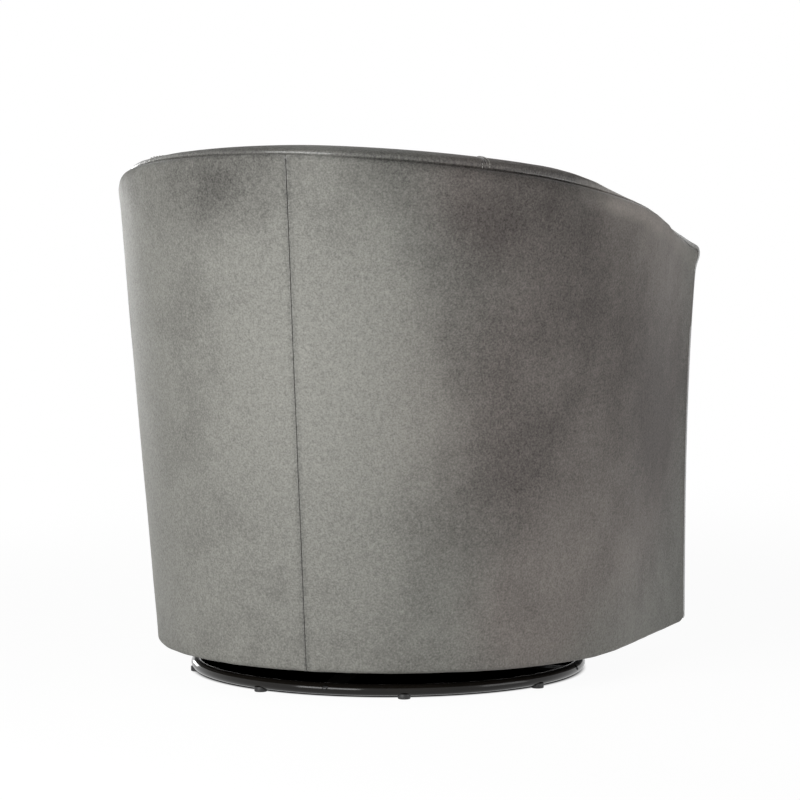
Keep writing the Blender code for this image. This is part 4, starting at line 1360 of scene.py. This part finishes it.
def capsule(name: str, radius: float, length: float) -> bpy.types.Object:
    """A short thread with pinched ends, along X at the origin."""
    deselect_all()
    bpy.ops.mesh.primitive_cylinder_add(
        vertices=6, radius=radius, depth=length * 0.6, end_fill_type="NGON", rotation=(0, math.pi / 2, 0)
    )
    piece = settle_origin(bpy.context.object)
    piece.name = name
    bpy.ops.object.mode_set(mode="EDIT")
    for sign in (-1, 1):
        bpy.ops.mesh.select_all(action="DESELECT")
        select_facing(piece, Vector((sign, 0, 0)))
        bpy.ops.mesh.extrude_region_move(TRANSFORM_OT_translate={"value": (sign * length * 0.2, 0, -radius)})
        bpy.ops.transform.resize(value=(1, 0.45, 0.45))
    bpy.ops.object.mode_set(mode="OBJECT")
    return piece


def stitch_places(line: Sequence[Vector], pitch: float, lift: float) -> list[Matrix]:
    """Finds where stitches lie along a line.

    Args:
        line: Points along the seam.
        pitch: Distance from one stitch to the next.
        lift: How far up each one is raised.

    Returns:
        The place and direction of each stitch.
    """
    places = []
    walked = pitch / 2
    for start, end in zip(line, line[1:]):
        step = end - start
        while walked < step.length:
            spot = start + step.normalized() * walked
            turned = step.to_track_quat("X", "Z").to_matrix().to_4x4()
            places.append(Matrix.Translation(spot + Vector((0, 0, lift))) @ turned)
            walked += pitch
        walked -= step.length
    return places


def repeat_along(first: bpy.types.Object, places: Sequence[Matrix], name: str) -> bpy.types.Object:
    """Copies a small piece to many places as one object, and removes the first.

    Args:
        first: The piece, at the origin.
        places: Where the copies go.
        name: The new object's name.

    Returns:
        The object that holds all copies.
    """
    build = bmesh.new()
    for matrix in places:
        before = len(build.verts)
        build.from_mesh(first.data)
        build.verts.ensure_lookup_table()
        bmesh.ops.transform(build, matrix=matrix, verts=build.verts[before:])
    bpy.data.objects.remove(first)
    return smooth(object_of(build, name))


@dataclass
class InsidePads:
    """The padded leather inside the wall: one length behind the sitter and one along each arm."""

    wall: WallForm
    hide: float = 0.0016
    low: float = 0.300
    seat_line: float = 0.4385
    plump: float = 0.011
    seam_turn: float = 0.006
    tuck: float = 0.008
    up: int = 84
    steps_per_run: int = 110
    wrinkle: float = 0.0011
    sink: float = 0.007
    sink_reach: float = 0.022
    front_run: float = 0.97
    below_band: float = 0.0012
    sewn_in: float = 0.003
    sewn_down: float = 0.005

    def face(self, run: float, share: float) -> tuple[float, float]:
        """Gives a pad's face, from 0 at its foot to 1 at the top band.

        Args:
            run: Where along the wall.
            share: How far up the pad.

        Returns:
            The inset and height.
        """
        top = self.wall.top(run, self.wall.band_width) - self.below_band
        height = mix(self.low, top, share)
        full = self.wall.thickness(run)
        band = self.wall.band_width
        if height <= self.seat_line:
            return full, height
        rise = (height - self.seat_line) / (top - self.seat_line)
        bulge = self.plump * math.sin(math.pi * min(1.0, rise) ** 0.8)
        return band + (full - band) * (1 - rise**3) + bulge, height

    def place(self, at: Column, share: float, span: tuple[float, float]) -> Vector:
        """Places one point of a pad, which sinks towards its own ends."""
        wall = self.wall
        inset, height = self.face(at.run, share)
        true = wall.point(at.run, height, inset, at.beside)
        length = wall.along(at.run, height).length
        end = min(abs(at.run - span[0]), abs(span[1] - at.run)) * length + abs(at.beside)
        sink = self.sink * math.exp(-end / self.sink_reach) if abs(at.run + at.beside) < self.front_run else 0.0
        near_top = math.exp(-(((1 - share) * (wall.rim(at.run) - self.low)) / 0.02))
        folds = self.wrinkle * (
            ripple(true, 0.16, 31.0) + (0.7 * near_top + 0.5 * math.exp(-end / 0.03)) * ripple(true, 0.03, 33.0)
        )
        return wall.point(at.run, height, inset - at.deep - sink + folds, at.beside)

    def build(self, finishes: Finishes) -> None:
        """Builds the three pads."""
        wall = self.wall
        edges = sewn_edge(self.seam_turn, self.tuck, steps=6)
        rows = [*spread(0.0, 1.0, self.up), 2.0]
        for name, (low, high) in zip(("inside_back", "inside_arm_left", "inside_arm_right"), wall.lengths()):
            columns = wall_columns(wall, low, high, round(self.steps_per_run * (high - low)), edges)

            def place(column: int, row: int) -> Vector:
                """Places one point, the last row of which is the edge sewn in under the top band."""
                at = columns[column]
                share = min(rows[row], 1.0)
                point = self.place(at, share, (low, high))
                if rows[row] > 1.0:
                    outward = self.place(at, 1.0, (low, high)) - wall.point(at.run, point.z, wall.arm_wall * 2)
                    point += outward.normalized() * self.sewn_in - Vector((0, 0, self.sewn_down))
                return point

            def mark(column: int, row: int) -> float:
                """Says how near the seams one point is."""
                at = columns[column]
                top = (1.0 - min(rows[row], 1.0)) * (wall.rim(at.run) - self.low)
                return 1.0 - ease(min(top, at.from_end()) / SEAM_REACH)

            counts = (len(columns), len(rows))
            piece = sewn_piece(f"{name}_leather", counts, place, mark, -wall.facing(low, high), self.hide)
            fit_out(piece, finishes.leather, "chair", [name])


@dataclass
class FrontPads:
    """The upright pads that close the fronts of the two arms, and the border between them."""

    wall: WallForm
    hide: float = 0.0016
    arm_plump: float = 0.0135
    arm_roll: float = 0.020
    border_plump: float = 0.008
    border_roll: float = 0.012
    border_top: float = 0.3095
    tuck: float = 0.007
    arm_counts: tuple[int, int] = (44, 130)
    border_counts: tuple[int, int] = (130, 70)
    front_gap: float = 0.0003
    billow: float = 0.0008

    def pad(
        self,
        name: str,
        corner: Callable[[float, float], tuple[float, float]],
        size: tuple[float, float],
        plump: float,
        roll: float,
        counts: tuple[int, int],
    ) -> bpy.types.Object:
        """Builds one pad that faces forward.

        Args:
            name: Its name.
            corner: Gives x and z from a share across and a share up.
            size: Its width and height.
            plump: How far it stands forward.
            roll: How wide its rounded edge is.
            counts: Number of points across and up.

        Returns:
            The pad.
        """
        edge, rise = ([-1.0, -0.4, *spread(0.0, 1.0, count), 1.4, 2.0] for count in counts)

        def eased(share: float) -> float:
            """Crowds the points towards both edges."""
            return mix(held(share), ease(share), 0.75)

        def past(share: float) -> float:
            """How far past its edge a point is tucked, from 0 to 1."""
            return max(0.0, -share, share - 1.0)

        def lift(distance: float) -> float:
            """The rounded edge's height, as a share of the pad's."""
            return math.sqrt(1 - (1 - held(distance / roll)) ** 2)

        def place(column: int, row: int) -> Vector:
            """Places one point of the pad."""
            u, v = eased(edge[column]), eased(rise[row])
            x, z = corner(u, v)
            wide = lift(min(u, 1 - u) * size[0])
            tall = lift(min(v, 1 - v) * size[1])
            crown = 0.75 + 0.25 * math.sin(math.pi * u)
            out = plump * crown * wide * tall
            back = self.tuck * max(past(edge[column]), past(rise[row]))
            here = Vector((x, self.wall.front_y - self.front_gap - out + back, z))
            here.y += self.billow * ripple(here, 0.035, 41.0) * min(1.0, out / 0.004)
            return here

        def mark(column: int, row: int) -> float:
            """Says how near the seams one point is."""
            u, v = eased(edge[column]), eased(rise[row])
            return 1.0 - ease(min(min(u, 1 - u) * size[0], min(v, 1 - v) * size[1]) / SEAM_REACH)

        return sewn_piece(name, (len(edge), len(rise)), place, mark, Vector((0, -1, 0)), self.hide)

    def build(self, finishes: Finishes) -> None:
        """Builds the arm fronts and the border."""
        wall = self.wall
        for side in Side:
            def corner(u: float, v: float, side: Side = side) -> tuple[float, float]:
                """Gives a point of the arm front's outline, whose top follows the band."""
                inset = wall.arm_wall * u
                arch = math.sin(math.pi * min(1.0, inset / wall.band_width)) ** wall.arch_power
                top = wall.rim(1.0) + mix(0.0012, wall.crown(1.0), arch)
                z = mix(wall.bottom + wall.turned_up(inset, wall.bottom), top, v)
                puff = wall.puff(1.0, z) * ease(1 - inset / 0.03)
                return wall.point(float(side.value), z, inset - puff).x, z

            size = (wall.arm_wall, wall.rim(1.0) - wall.bottom)
            name = f"arm_front_leather_{side.word}"
            piece = self.pad(name, corner, size, self.arm_plump, self.arm_roll, self.arm_counts)
            fit_out(piece, finishes.leather, "chair", [f"arm_front_{side.word}"])

        half = wall.point(1.0, wall.bottom, wall.arm_wall).x - 0.0006

        def border(u: float, v: float) -> tuple[float, float]:
            """Gives a point of the border's outline."""
            return mix(-half, half, u), mix(wall.bottom, self.border_top, v)

        size = (2 * half, self.border_top - wall.bottom)
        name = "front_border_leather"
        piece = self.pad(name, border, size, self.border_plump, self.border_roll, self.border_counts)
        fit_out(piece, finishes.leather, "chair", ["front_border"])


def even_loop(points: Sequence[Vector], count: int) -> list[Vector]:
    """Spaces points evenly round a closed line.

    Args:
        points: The corners of the line.
        count: Number of points wanted.

    Returns:
        The points, of which the first is the line's first.
    """
    closed = [*points, points[0]]
    reach = [0.0]
    for start, end in zip(closed, closed[1:]):
        reach.append(reach[-1] + (end - start).length)
    found, piece = [], 0
    for index in range(count):
        goal = reach[-1] * index / count
        while reach[piece + 1] < goal:
            piece += 1
        length = reach[piece + 1] - reach[piece]
        found.append(closed[piece].lerp(closed[piece + 1], (goal - reach[piece]) / max(length, 1e-9)))
    return found


@dataclass
class SeatCushion:
    """The loose seat cushion: a boxed U-shaped case, filled until it swells between the arms."""

    wall: WallForm
    bottom: float = 0.3125
    side: float = 0.124
    crown: float = 0.010
    dome: float = 0.110
    edge: float = 0.007
    clear: float = 0.0022
    front_reach: float = 0.004
    corner: float = 0.018
    around: int = 200
    shrink: float = 0.008
    voxel: float = 0.006
    swell: float = 0.020
    pressure: float = 4.0
    frames: int = 20
    waist: float = 0.003
    pad_foot: float = 0.3
    pad_middle: float = 0.4
    pad_head: float = 0.5
    dome_shares: tuple[float, ...] = (0.1, 0.25, 0.45, 0.7, 1.0)
    dome_power: float = 2.2
    sunk: float = 0.001
    free_front: float = 0.02
    seam_step: float = 0.003
    cut: tuple[float, float] = (0.0028, 0.0032)
    welt: tuple[float, float] = (0.0010, 0.005)
    welt_gap: float = 0.009
    folds: tuple[float, float] = (0.0013, 0.03)
    billow: float = 0.0018
    seam_reach: float = 0.007

    def plan(self, height: float, drawn: float) -> list[Vector]:
        """Gives the cushion's plan at one height.

        Args:
            height: The height.
            drawn: How far it is drawn in from the pads round it.

        Returns:
            Evenly spaced points round it, anticlockwise.
        """
        wall = self.wall
        front = wall.front_y - self.front_reach + drawn
        corner = self.corner
        back = []
        for run in spread(1.0, -1.0, 96):
            place = wall.point(run, max(height, self.pad_foot), wall.thickness(run) + self.clear + drawn)
            if place.y > front + corner:
                back.append(Vector((place.x, place.y, height)))
        left, right = back[0].x, back[-1].x
        turned = quarter(corner, 6)
        near = [Vector((right + rise, front + inset, height)) for inset, rise in turned]
        far = [Vector((left - rise, front + inset, height)) for inset, rise in reversed(turned)]
        return even_loop([*back, *near, *far], self.around)

    def rings(self) -> list[list[Vector]]:
        """Lays out the case's rings, from the middle of its underside to the middle of its top."""
        top = self.bottom + self.side
        edge = self.edge
        rings = [self.plan(self.bottom, edge + self.shrink)]
        turned = quarter(edge, 4)
        rings += [self.plan(self.bottom + rise, self.shrink + inset) for inset, rise in turned[1:]]
        for share in spread(0.0, 1.0, 10)[1:]:
            waist = self.waist * math.sin(math.pi * share)
            rings.append(self.plan(mix(self.bottom + edge, top - edge, share), self.shrink - waist))
        rings += [self.plan(top - rise, self.shrink + inset) for inset, rise in reversed(turned[:-1])]
        for share in self.dome_shares:
            rise = self.crown * (1 - (1 - share) ** self.dome_power)
            rings.append(self.plan(top + rise, self.shrink + edge + self.dome * share))
        return rings

    def case(self) -> bpy.types.Object:
        """Builds the case, closed at both ends."""
        build = bmesh.new()
        rings = self.rings()
        count = len(rings[0])
        rows = [[build.verts.new(point) for point in ring] for ring in rings]
        for here, there in zip(rows, rows[1:]):
            for index in range(count):
                after = (index + 1) % count
                build.faces.new((here[index], here[after], there[after], there[index]))
        build.faces.new(rows[0][::-1])
        build.faces.new(rows[-1])
        bmesh.ops.triangulate(build, faces=[face for face in build.faces if len(face.verts) > 4])
        bmesh.ops.recalc_face_normals(build, faces=build.faces)
        return object_of(build, "seat_cushion_leather")

    def fill(self, piece: bpy.types.Object) -> None:
        """Swells the case with a cloth simulation, held within its space."""
        net = piece.modifiers.new("net", "REMESH")
        net.mode = "VOXEL"
        net.voxel_size = self.voxel
        apply_modifiers(piece)
        rest = [vert.co.copy() for vert in piece.data.vertices]
        cloth = piece.modifiers.new("cloth", "CLOTH")
        cloth.settings.quality = 5
        cloth.settings.mass = 0.4
        cloth.settings.tension_stiffness = 18
        cloth.settings.compression_stiffness = 18
        cloth.settings.bending_stiffness = 1.2
        cloth.settings.use_pressure = True
        cloth.settings.uniform_pressure_force = self.pressure
        cloth.settings.effector_weights.gravity = 0.0
        cloth.point_cache.frame_start = 1
        cloth.point_cache.frame_end = self.frames
        for number in range(1, self.frames + 1):
            bpy.context.scene.frame_set(number)
        apply_modifiers(piece)
        for vert, place in zip(piece.data.vertices, rest):
            moved = vert.co - place
            if moved.length > self.swell:
                moved *= self.swell / moved.length
            vert.co = place + moved
        bpy.context.scene.frame_set(1)

    def confine(self, piece: bpy.types.Object) -> None:
        """Presses the cushion flat against the pads beside it and the deck under it."""
        wall = self.wall
        runs = spread(-1.0, 1.0, 240)
        level = self.pad_middle
        tree = finder([wall.point(run, level, wall.thickness(run) + self.clear) for run in runs])
        for vert in piece.data.vertices:
            vert.co.z = max(vert.co.z, self.bottom - self.sunk)
            _, index, _ = tree.find((vert.co.x, vert.co.y, level))
            run = runs[index]
            height = min(max(vert.co.z, self.pad_foot), self.pad_head)
            limit = wall.point(run, height, wall.thickness(run) + self.clear)
            along = wall.along(run, height).normalized()
            inward = Vector((along.y, -along.x, 0.0))
            over = (limit - vert.co).dot(inward)
            if over > 0 and vert.co.y > wall.front_y - self.free_front:
                vert.co += inward * over

    def groove(self, piece: bpy.types.Object) -> None:
        """Draws in the two seams of the boxing, with puckers beside them."""
        turn = self.edge * 0.3
        line = []
        for height in (self.bottom + turn, self.bottom + self.side - turn):
            ring = self.plan(height, self.shrink + turn)
            for start, end in zip(ring, ring[1:] + ring[:1]):
                steps = max(1, round((end - start).length / self.seam_step))
                line += [start.lerp(end, step / steps) for step in range(steps)]
        tree = finder(line)
        seam = piece.data.attributes.new("seam", "FLOAT", "POINT")
        normals = [vert.normal.copy() for vert in piece.data.vertices]
        for index, vert in enumerate(piece.data.vertices):
            place = vert.co.copy()
            _, _, gap = tree.find(place)
            cut = self.cut[0] * bell(gap, 0.0, self.cut[1])
            welt = self.welt[0] * bell(gap, self.welt_gap, self.welt[1])
            folds = self.folds[0] * bell(gap, 0.0, self.folds[1]) * ripple(place, 0.024, 51.0)
            broad = self.billow * ripple(place, 0.13, 53.0)
            vert.co += normals[index] * (welt + folds + broad - cut)
            seam.data[index].value = 1.0 - ease(gap / self.seam_reach)

    def build(self, finishes: Finishes) -> None:
        """Builds, fills and dresses the cushion."""
        piece = self.case()
        self.fill(piece)
        finer = piece.modifiers.new("finer", "SUBSURF")
        finer.levels = finer.render_levels = 1
        apply_modifiers(piece)
        self.confine(piece)
        self.groove(piece)
        smooth(piece, 70.0)
        fit_out(piece, finishes.leather, "chair", ["seat_cushion"])


@dataclass
class DustCover:
    """The black cloth stapled under the frame, round the swivel's plate."""

    wall: WallForm
    height: float = 0.0430
    thickness: float = 0.0006
    reach: float = 0.040
    front: float = 0.012
    sag: float = 0.0008
    edge_drop: float = 0.0006
    held_share: float = 0.45
    hub: float = 0.016
    rings: int = 26

    def build(self, finishes: Finishes) -> None:
        """Builds the cloth."""
        wall = self.wall
        edge = [wall.point(run, wall.bottom, self.reach) for run in spread(1.0, -1.0, 120)]
        right, left = edge[-1], edge[0]
        front_y = wall.front_y + self.front
        edge = [point for point in edge if point.y > front_y]
        edge += [Vector((mix(right.x, left.x, share), front_y, 0.0)) for share in spread(0.0, 1.0, 50)]
        centre = Vector((0.0, SWIVEL_Y, 0.0))
        count = len(edge)

        def place(column: int, row: int) -> Vector:
            """Places one point, from round the pin to the stapled edge."""
            rim = edge[column % count].copy()
            rim.z = 0.0
            out = (rim - centre).normalized()
            share = row / self.rings
            flat = (centre + out * self.hub).lerp(rim, share)
            low = self.sag * math.sin(math.pi * share) * (0.6 + 0.8 * ripple(flat, 0.07, 61.0))
            height = self.height - self.edge_drop * share - low * (share > self.held_share)
            return Vector((flat.x, flat.y, height))

        piece = laid_grid("dust_cover_cloth_sheet", count + 1, self.rings + 1, place, Vector((0, 0, -1)))
        take(piece)
        bpy.ops.object.mode_set(mode="EDIT")
        bpy.ops.mesh.select_all(action="SELECT")
        bpy.ops.mesh.remove_doubles(threshold=WELD)
        bpy.ops.object.mode_set(mode="OBJECT")
        thicken(piece, self.thickness)
        smooth(piece, LEATHER_CREASE)
        fit_out(piece, finishes.dust, "chair", ["dust_cover"])


# The base


@dataclass
class SwivelBase:
    """The round tube, its glides, and the rivets at the ends of the bars to the swivel."""

    ring_radius: float = 0.272
    tube_radius: float = 0.008
    stand: float = 0.0041
    glide_radius: float = 0.0088
    glide_grip: float = 0.0030
    glide_count: int = 8
    glide_turn: float = 25.5
    bar_turn: float = 2.8
    bar_count: int = 4
    rivet_radius: float = 0.0042
    rivet_half: float = 0.0012
    rivet_round: float = 0.0021
    rivet_lift: float = 22.0
    glide_round: float = 0.0012
    glide_edge: float = 0.0004
    bead: float = 0.0006
    bead_reach: float = 0.0035
    segments: int = 168

    @property
    def tube_z(self) -> float:
        """Height of the middle of the tube."""
        return self.stand + self.tube_radius

    def ring(self, finishes: Finishes) -> None:
        """Spins a circle into the tube, and raises its weld."""
        deselect_all()
        bpy.ops.mesh.primitive_circle_add(
            vertices=28,
            radius=self.tube_radius,
            location=(self.ring_radius, SWIVEL_Y, self.tube_z),
            rotation=(math.pi / 2, 0, 0),
        )
        piece = settle_origin(bpy.context.object)
        piece.name = "base_ring_tube"
        bpy.ops.object.mode_set(mode="EDIT")
        bpy.ops.mesh.select_all(action="SELECT")
        bpy.ops.mesh.spin(
            steps=self.segments, angle=math.tau, center=(0, SWIVEL_Y, 0), axis=(0, 0, 1), use_auto_merge=True
        )
        bpy.ops.mesh.select_all(action="SELECT")
        bpy.ops.mesh.remove_doubles(threshold=WELD)
        bpy.ops.mesh.normals_make_consistent(inside=False)
        bpy.ops.object.mode_set(mode="OBJECT")
        for vert in piece.data.vertices:
            flat = Vector((vert.co.x, vert.co.y - SWIVEL_Y, 0.0))
            middle = flat.normalized() * self.ring_radius + Vector((0, SWIVEL_Y, self.tube_z))
            along = math.atan2(flat.x, -flat.y) * self.ring_radius
            vert.co += (vert.co - middle).normalized() * self.bead * bell(along, 0.0, self.bead_reach)
        smooth(piece, 50.0)
        fit_out(piece, finishes.paint, "base", ["base_ring"])

    def glides(self, finishes: Finishes) -> None:
        """Builds one glide and copies it round the tube."""
        deselect_all()
        top = self.stand + self.glide_grip
        bpy.ops.mesh.primitive_cylinder_add(
            vertices=28, radius=self.glide_radius, depth=top, location=(self.ring_radius, SWIVEL_Y, top / 2)
        )
        first = settle_origin(bpy.context.object)
        bpy.ops.object.mode_set(mode="EDIT")
        select_facing(first, Vector((0, 0, -1)))
        bpy.ops.mesh.bevel(offset=self.glide_round, segments=4, affect="EDGES")
        bpy.ops.object.mode_set(mode="OBJECT")
        edge = first.modifiers.new("edge", "BEVEL")
        edge.width = self.glide_edge
        edge.segments = 2
        edge.limit_method = "ANGLE"
        apply_modifiers(first)
        smooth(first)
        for index in range(self.glide_count):
            turn = about_axis(self.glide_turn + index * 360 / self.glide_count)
            glide = copy_of(first, f"floor_glide_{index + 1}", turn)
            fit_out(glide, finishes.nylon, "base", [f"glide_{index + 1}"])
        bpy.data.objects.remove(first)

    def rivets(self, finishes: Finishes) -> None:
        """Builds one domed rivet head and copies it to the end of each bar."""
        deselect_all()
        lift = math.radians(self.rivet_lift)
        out = Vector((math.cos(lift), 0, math.sin(lift)))
        foot = Vector((self.ring_radius, SWIVEL_Y, self.tube_z)) + out * (self.tube_radius - self.rivet_half)
        turn = (0, math.pi / 2 - lift, 0)
        bpy.ops.mesh.primitive_cylinder_add(
            vertices=24, radius=self.rivet_radius, depth=2 * self.rivet_half, location=foot, rotation=turn
        )
        first = settle_origin(bpy.context.object)
        bpy.ops.object.mode_set(mode="EDIT")
        select_facing(first, out)
        bpy.ops.mesh.bevel(offset=self.rivet_round, segments=6, affect="EDGES")
        bpy.ops.object.mode_set(mode="OBJECT")
        smooth(first, 60.0)
        for index in range(self.bar_count):
            turn = about_axis(self.bar_turn + index * 360 / self.bar_count)
            rivet = copy_of(first, f"rivet_head_{index + 1}", turn @ Matrix.Translation(out * self.rivet_half))
            fit_out(rivet, finishes.rivet, "base", [f"ring_rivet_{index + 1}"])
        bpy.data.objects.remove(first)

    def build(self, finishes: Finishes) -> None:
        """Builds the base's pieces."""
        self.ring(finishes)
        self.glides(finishes)
        self.rivets(finishes)


@dataclass
class InnerWorks:
    """The nodes that keep their shape, and the finish that each one gets."""

    panels: tuple[str, ...] = ("base_panel", "seat_panel", "front_rail", "top_rail")
    boards: tuple[str, ...] = ("outer_liner", "inner_liner")
    painted: tuple[str, ...] = ("upper_plate", "lower_plate")
    steel: tuple[str, ...] = ("king_pin", "ball_cage")

    def dress(self, finishes: Finishes) -> None:
        """Gives each of them its material."""
        for name, node in sorted(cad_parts.items()):
            if name in self.panels:
                material = finishes.panel
            elif name.endswith("post") or "_post_" in name:
                material = finishes.post
            elif name in self.boards:
                material = finishes.board
            elif name in self.painted or name.startswith("base_bar"):
                material = finishes.paint
            elif name in self.steel or name.startswith(("plate_screw", "seat_spring")):
                material = finishes.steel
            elif name == "seat_deck":
                material = finishes.felt
            else:
                continue
            node.data.materials.clear()
            node.data.materials.append(material)
            LOG.info("%s: keeps its shape, in %s", name, material.name)


# The studio


@dataclass(frozen=True)
class Lamp:
    """A soft box that looks at the chair. Its bearing is in degrees from the camera's."""

    name: str
    bearing: float
    height: float
    distance: float
    size: tuple[float, float]
    power: float


@dataclass
class Studio:
    """The pale floor and backdrop, the lamps and the camera."""

    camera_place: tuple[float, float, float] = (-2.502, 6.5265, 1.0898)
    heading: float = 200.774
    tilt: float = 5.751
    lens: float = 223.99
    sensor: float = 36.0
    ambient: float = 0.10
    floor_tone: float = 0.50
    floor_seen_tone: float = 2.2
    floor_white: float = 0.95
    shade_start: float = 0.018
    shade_length: float = 0.055
    shade_reach: float = 0.272
    shade_edge: float = 0.012
    shadow_reach: tuple[float, float] = (0.9, 2.4)
    aim: tuple[float, float, float] = (0.0, 0.0, 0.4)
    lamps: tuple[Lamp, ...] = (
        Lamp("key_softbox", -34.0, 0.7, 2.6, (1.7, 1.0), 43.0),
        Lamp("bounce_card", 65.0, 0.2, 1.2, (0.6, 0.6), 2.6),
        Lamp("edge_softbox", -150.0, 0.38, 2.6, (0.6, 0.6), 8.5),
    )

    def camera(self) -> None:
        """Places the camera at the photograph's viewing angle."""
        data = bpy.data.cameras.new("camera")
        data.lens = self.lens
        data.sensor_width = self.sensor
        data.clip_end = 60.0
        camera = add_object("camera", data)
        camera.location = self.camera_place
        camera.rotation_euler = (math.radians(90 - self.tilt), 0, math.radians(self.heading))
        bpy.context.scene.camera = camera

    def hang(self, lamp: Lamp) -> None:
        """Hangs a lamp, and turns it to the chair."""
        view = math.atan2(self.camera_place[1], self.camera_place[0])
        angle = view + math.radians(lamp.bearing)
        data = bpy.data.lights.new(lamp.name, "AREA")
        data.shape = "RECTANGLE"
        data.size, data.size_y = lamp.size
        data.energy = lamp.power
        box = add_object(lamp.name, data)
        box.location = (lamp.distance * math.cos(angle), lamp.distance * math.sin(angle), lamp.height)
        box.rotation_euler = (Vector(self.aim) - box.location).to_track_quat("-Z", "Y").to_euler()

    def world(self) -> None:
        """Gives an even light, behind which the camera sees white."""
        world = bpy.data.worlds.new("studio")
        world.use_nodes = True
        draw = Sketch(world.node_tree)
        light = draw.add("ShaderNodeBackground", Color=WHITE, Strength=self.ambient)
        white = draw.add("ShaderNodeBackground", Color=WHITE, Strength=1.0)
        draw.add("ShaderNodeOutputWorld", Surface=draw.mixed(draw.seen(), light, white))
        bpy.context.scene.world = world

    def from_shade(self, draw: Sketch, place: object) -> object:
        """Adds nodes for the distance from the strip of floor that lies in the chair's deepest shade.

        The strip starts under the swivel and runs away from the camera.

        Args:
            draw: Where the nodes go.
            place: A place on the floor.

        Returns:
            The distance.
        """
        turn = math.radians(self.heading)
        ahead = Vector((-math.sin(turn), math.cos(turn), 0.0))
        start = Vector((0.0, SWIVEL_Y, 0.0)) + ahead * self.shade_start
        return draw.from_line(place, start, start + ahead * self.shade_length)

    def floor(self) -> None:
        """Lays a pale floor, with a black shadow painted into its colour in the chair's deepest shade."""
        deselect_all()
        bpy.ops.mesh.primitive_plane_add(size=60.0, location=(0, 0, 0))
        floor = bpy.context.object
        floor.name = "studio_floor"
        material = bpy.data.materials.new("studio_floor")
        material.use_nodes = True
        draw = Sketch(material.node_tree)
        seen = draw.seen()
        away = self.from_shade(draw, draw.add("ShaderNodeTexCoord").outputs["Object"])
        # Painted shadow: within the strip's reach the floor's colour is black.
        beyond_painted_shadow = draw.ramp(away, self.shade_reach, self.shade_reach + self.shade_edge, 0.0, 1.0)
        plain = draw.ramp(seen, 0.0, 1.0, self.floor_tone, self.floor_seen_tone)
        tone = draw.sum("MULTIPLY", beyond_painted_shadow, plain)
        colour = draw.add("ShaderNodeCombineColor", Red=tone, Green=tone, Blue=tone).outputs[0]
        matt = draw.add("ShaderNodeBsdfDiffuse", Color=colour)
        white = draw.add("ShaderNodeEmission", Color=WHITE, Strength=1.0)
        clear = draw.ramp(away, *self.shadow_reach, self.floor_white, 1.0)
        share = draw.sum("MULTIPLY", draw.sum("MULTIPLY", seen, beyond_painted_shadow), clear)
        draw.add("ShaderNodeOutputMaterial", Surface=draw.mixed(share, matt, white))
        floor.data.materials.append(material)

    def build(self) -> None:
        """Sets the studio up."""
        self.camera()
        self.world()
        self.floor()
        for lamp in self.lamps:
            self.hang(lamp)
        bpy.context.scene.view_settings.view_transform = "Standard"


def main() -> None:
    """Builds the chair in order, and the studio round it."""
    logging.basicConfig(level=logging.INFO, format="%(name)s: %(message)s")
    Studio().build()
    finishes = Finishes()
    wall = WallForm()
    SwivelBase().build(finishes)
    InnerWorks().dress(finishes)
    DustCover(wall).build(finishes)
    OutsideCovers(wall).build(finishes)
    TopBand(wall).build(finishes)
    InsidePads(wall).build(finishes)
    FrontPads(wall).build(finishes)
    SeatCushion(wall).build(finishes)


if __name__ == "__main__":
    main()
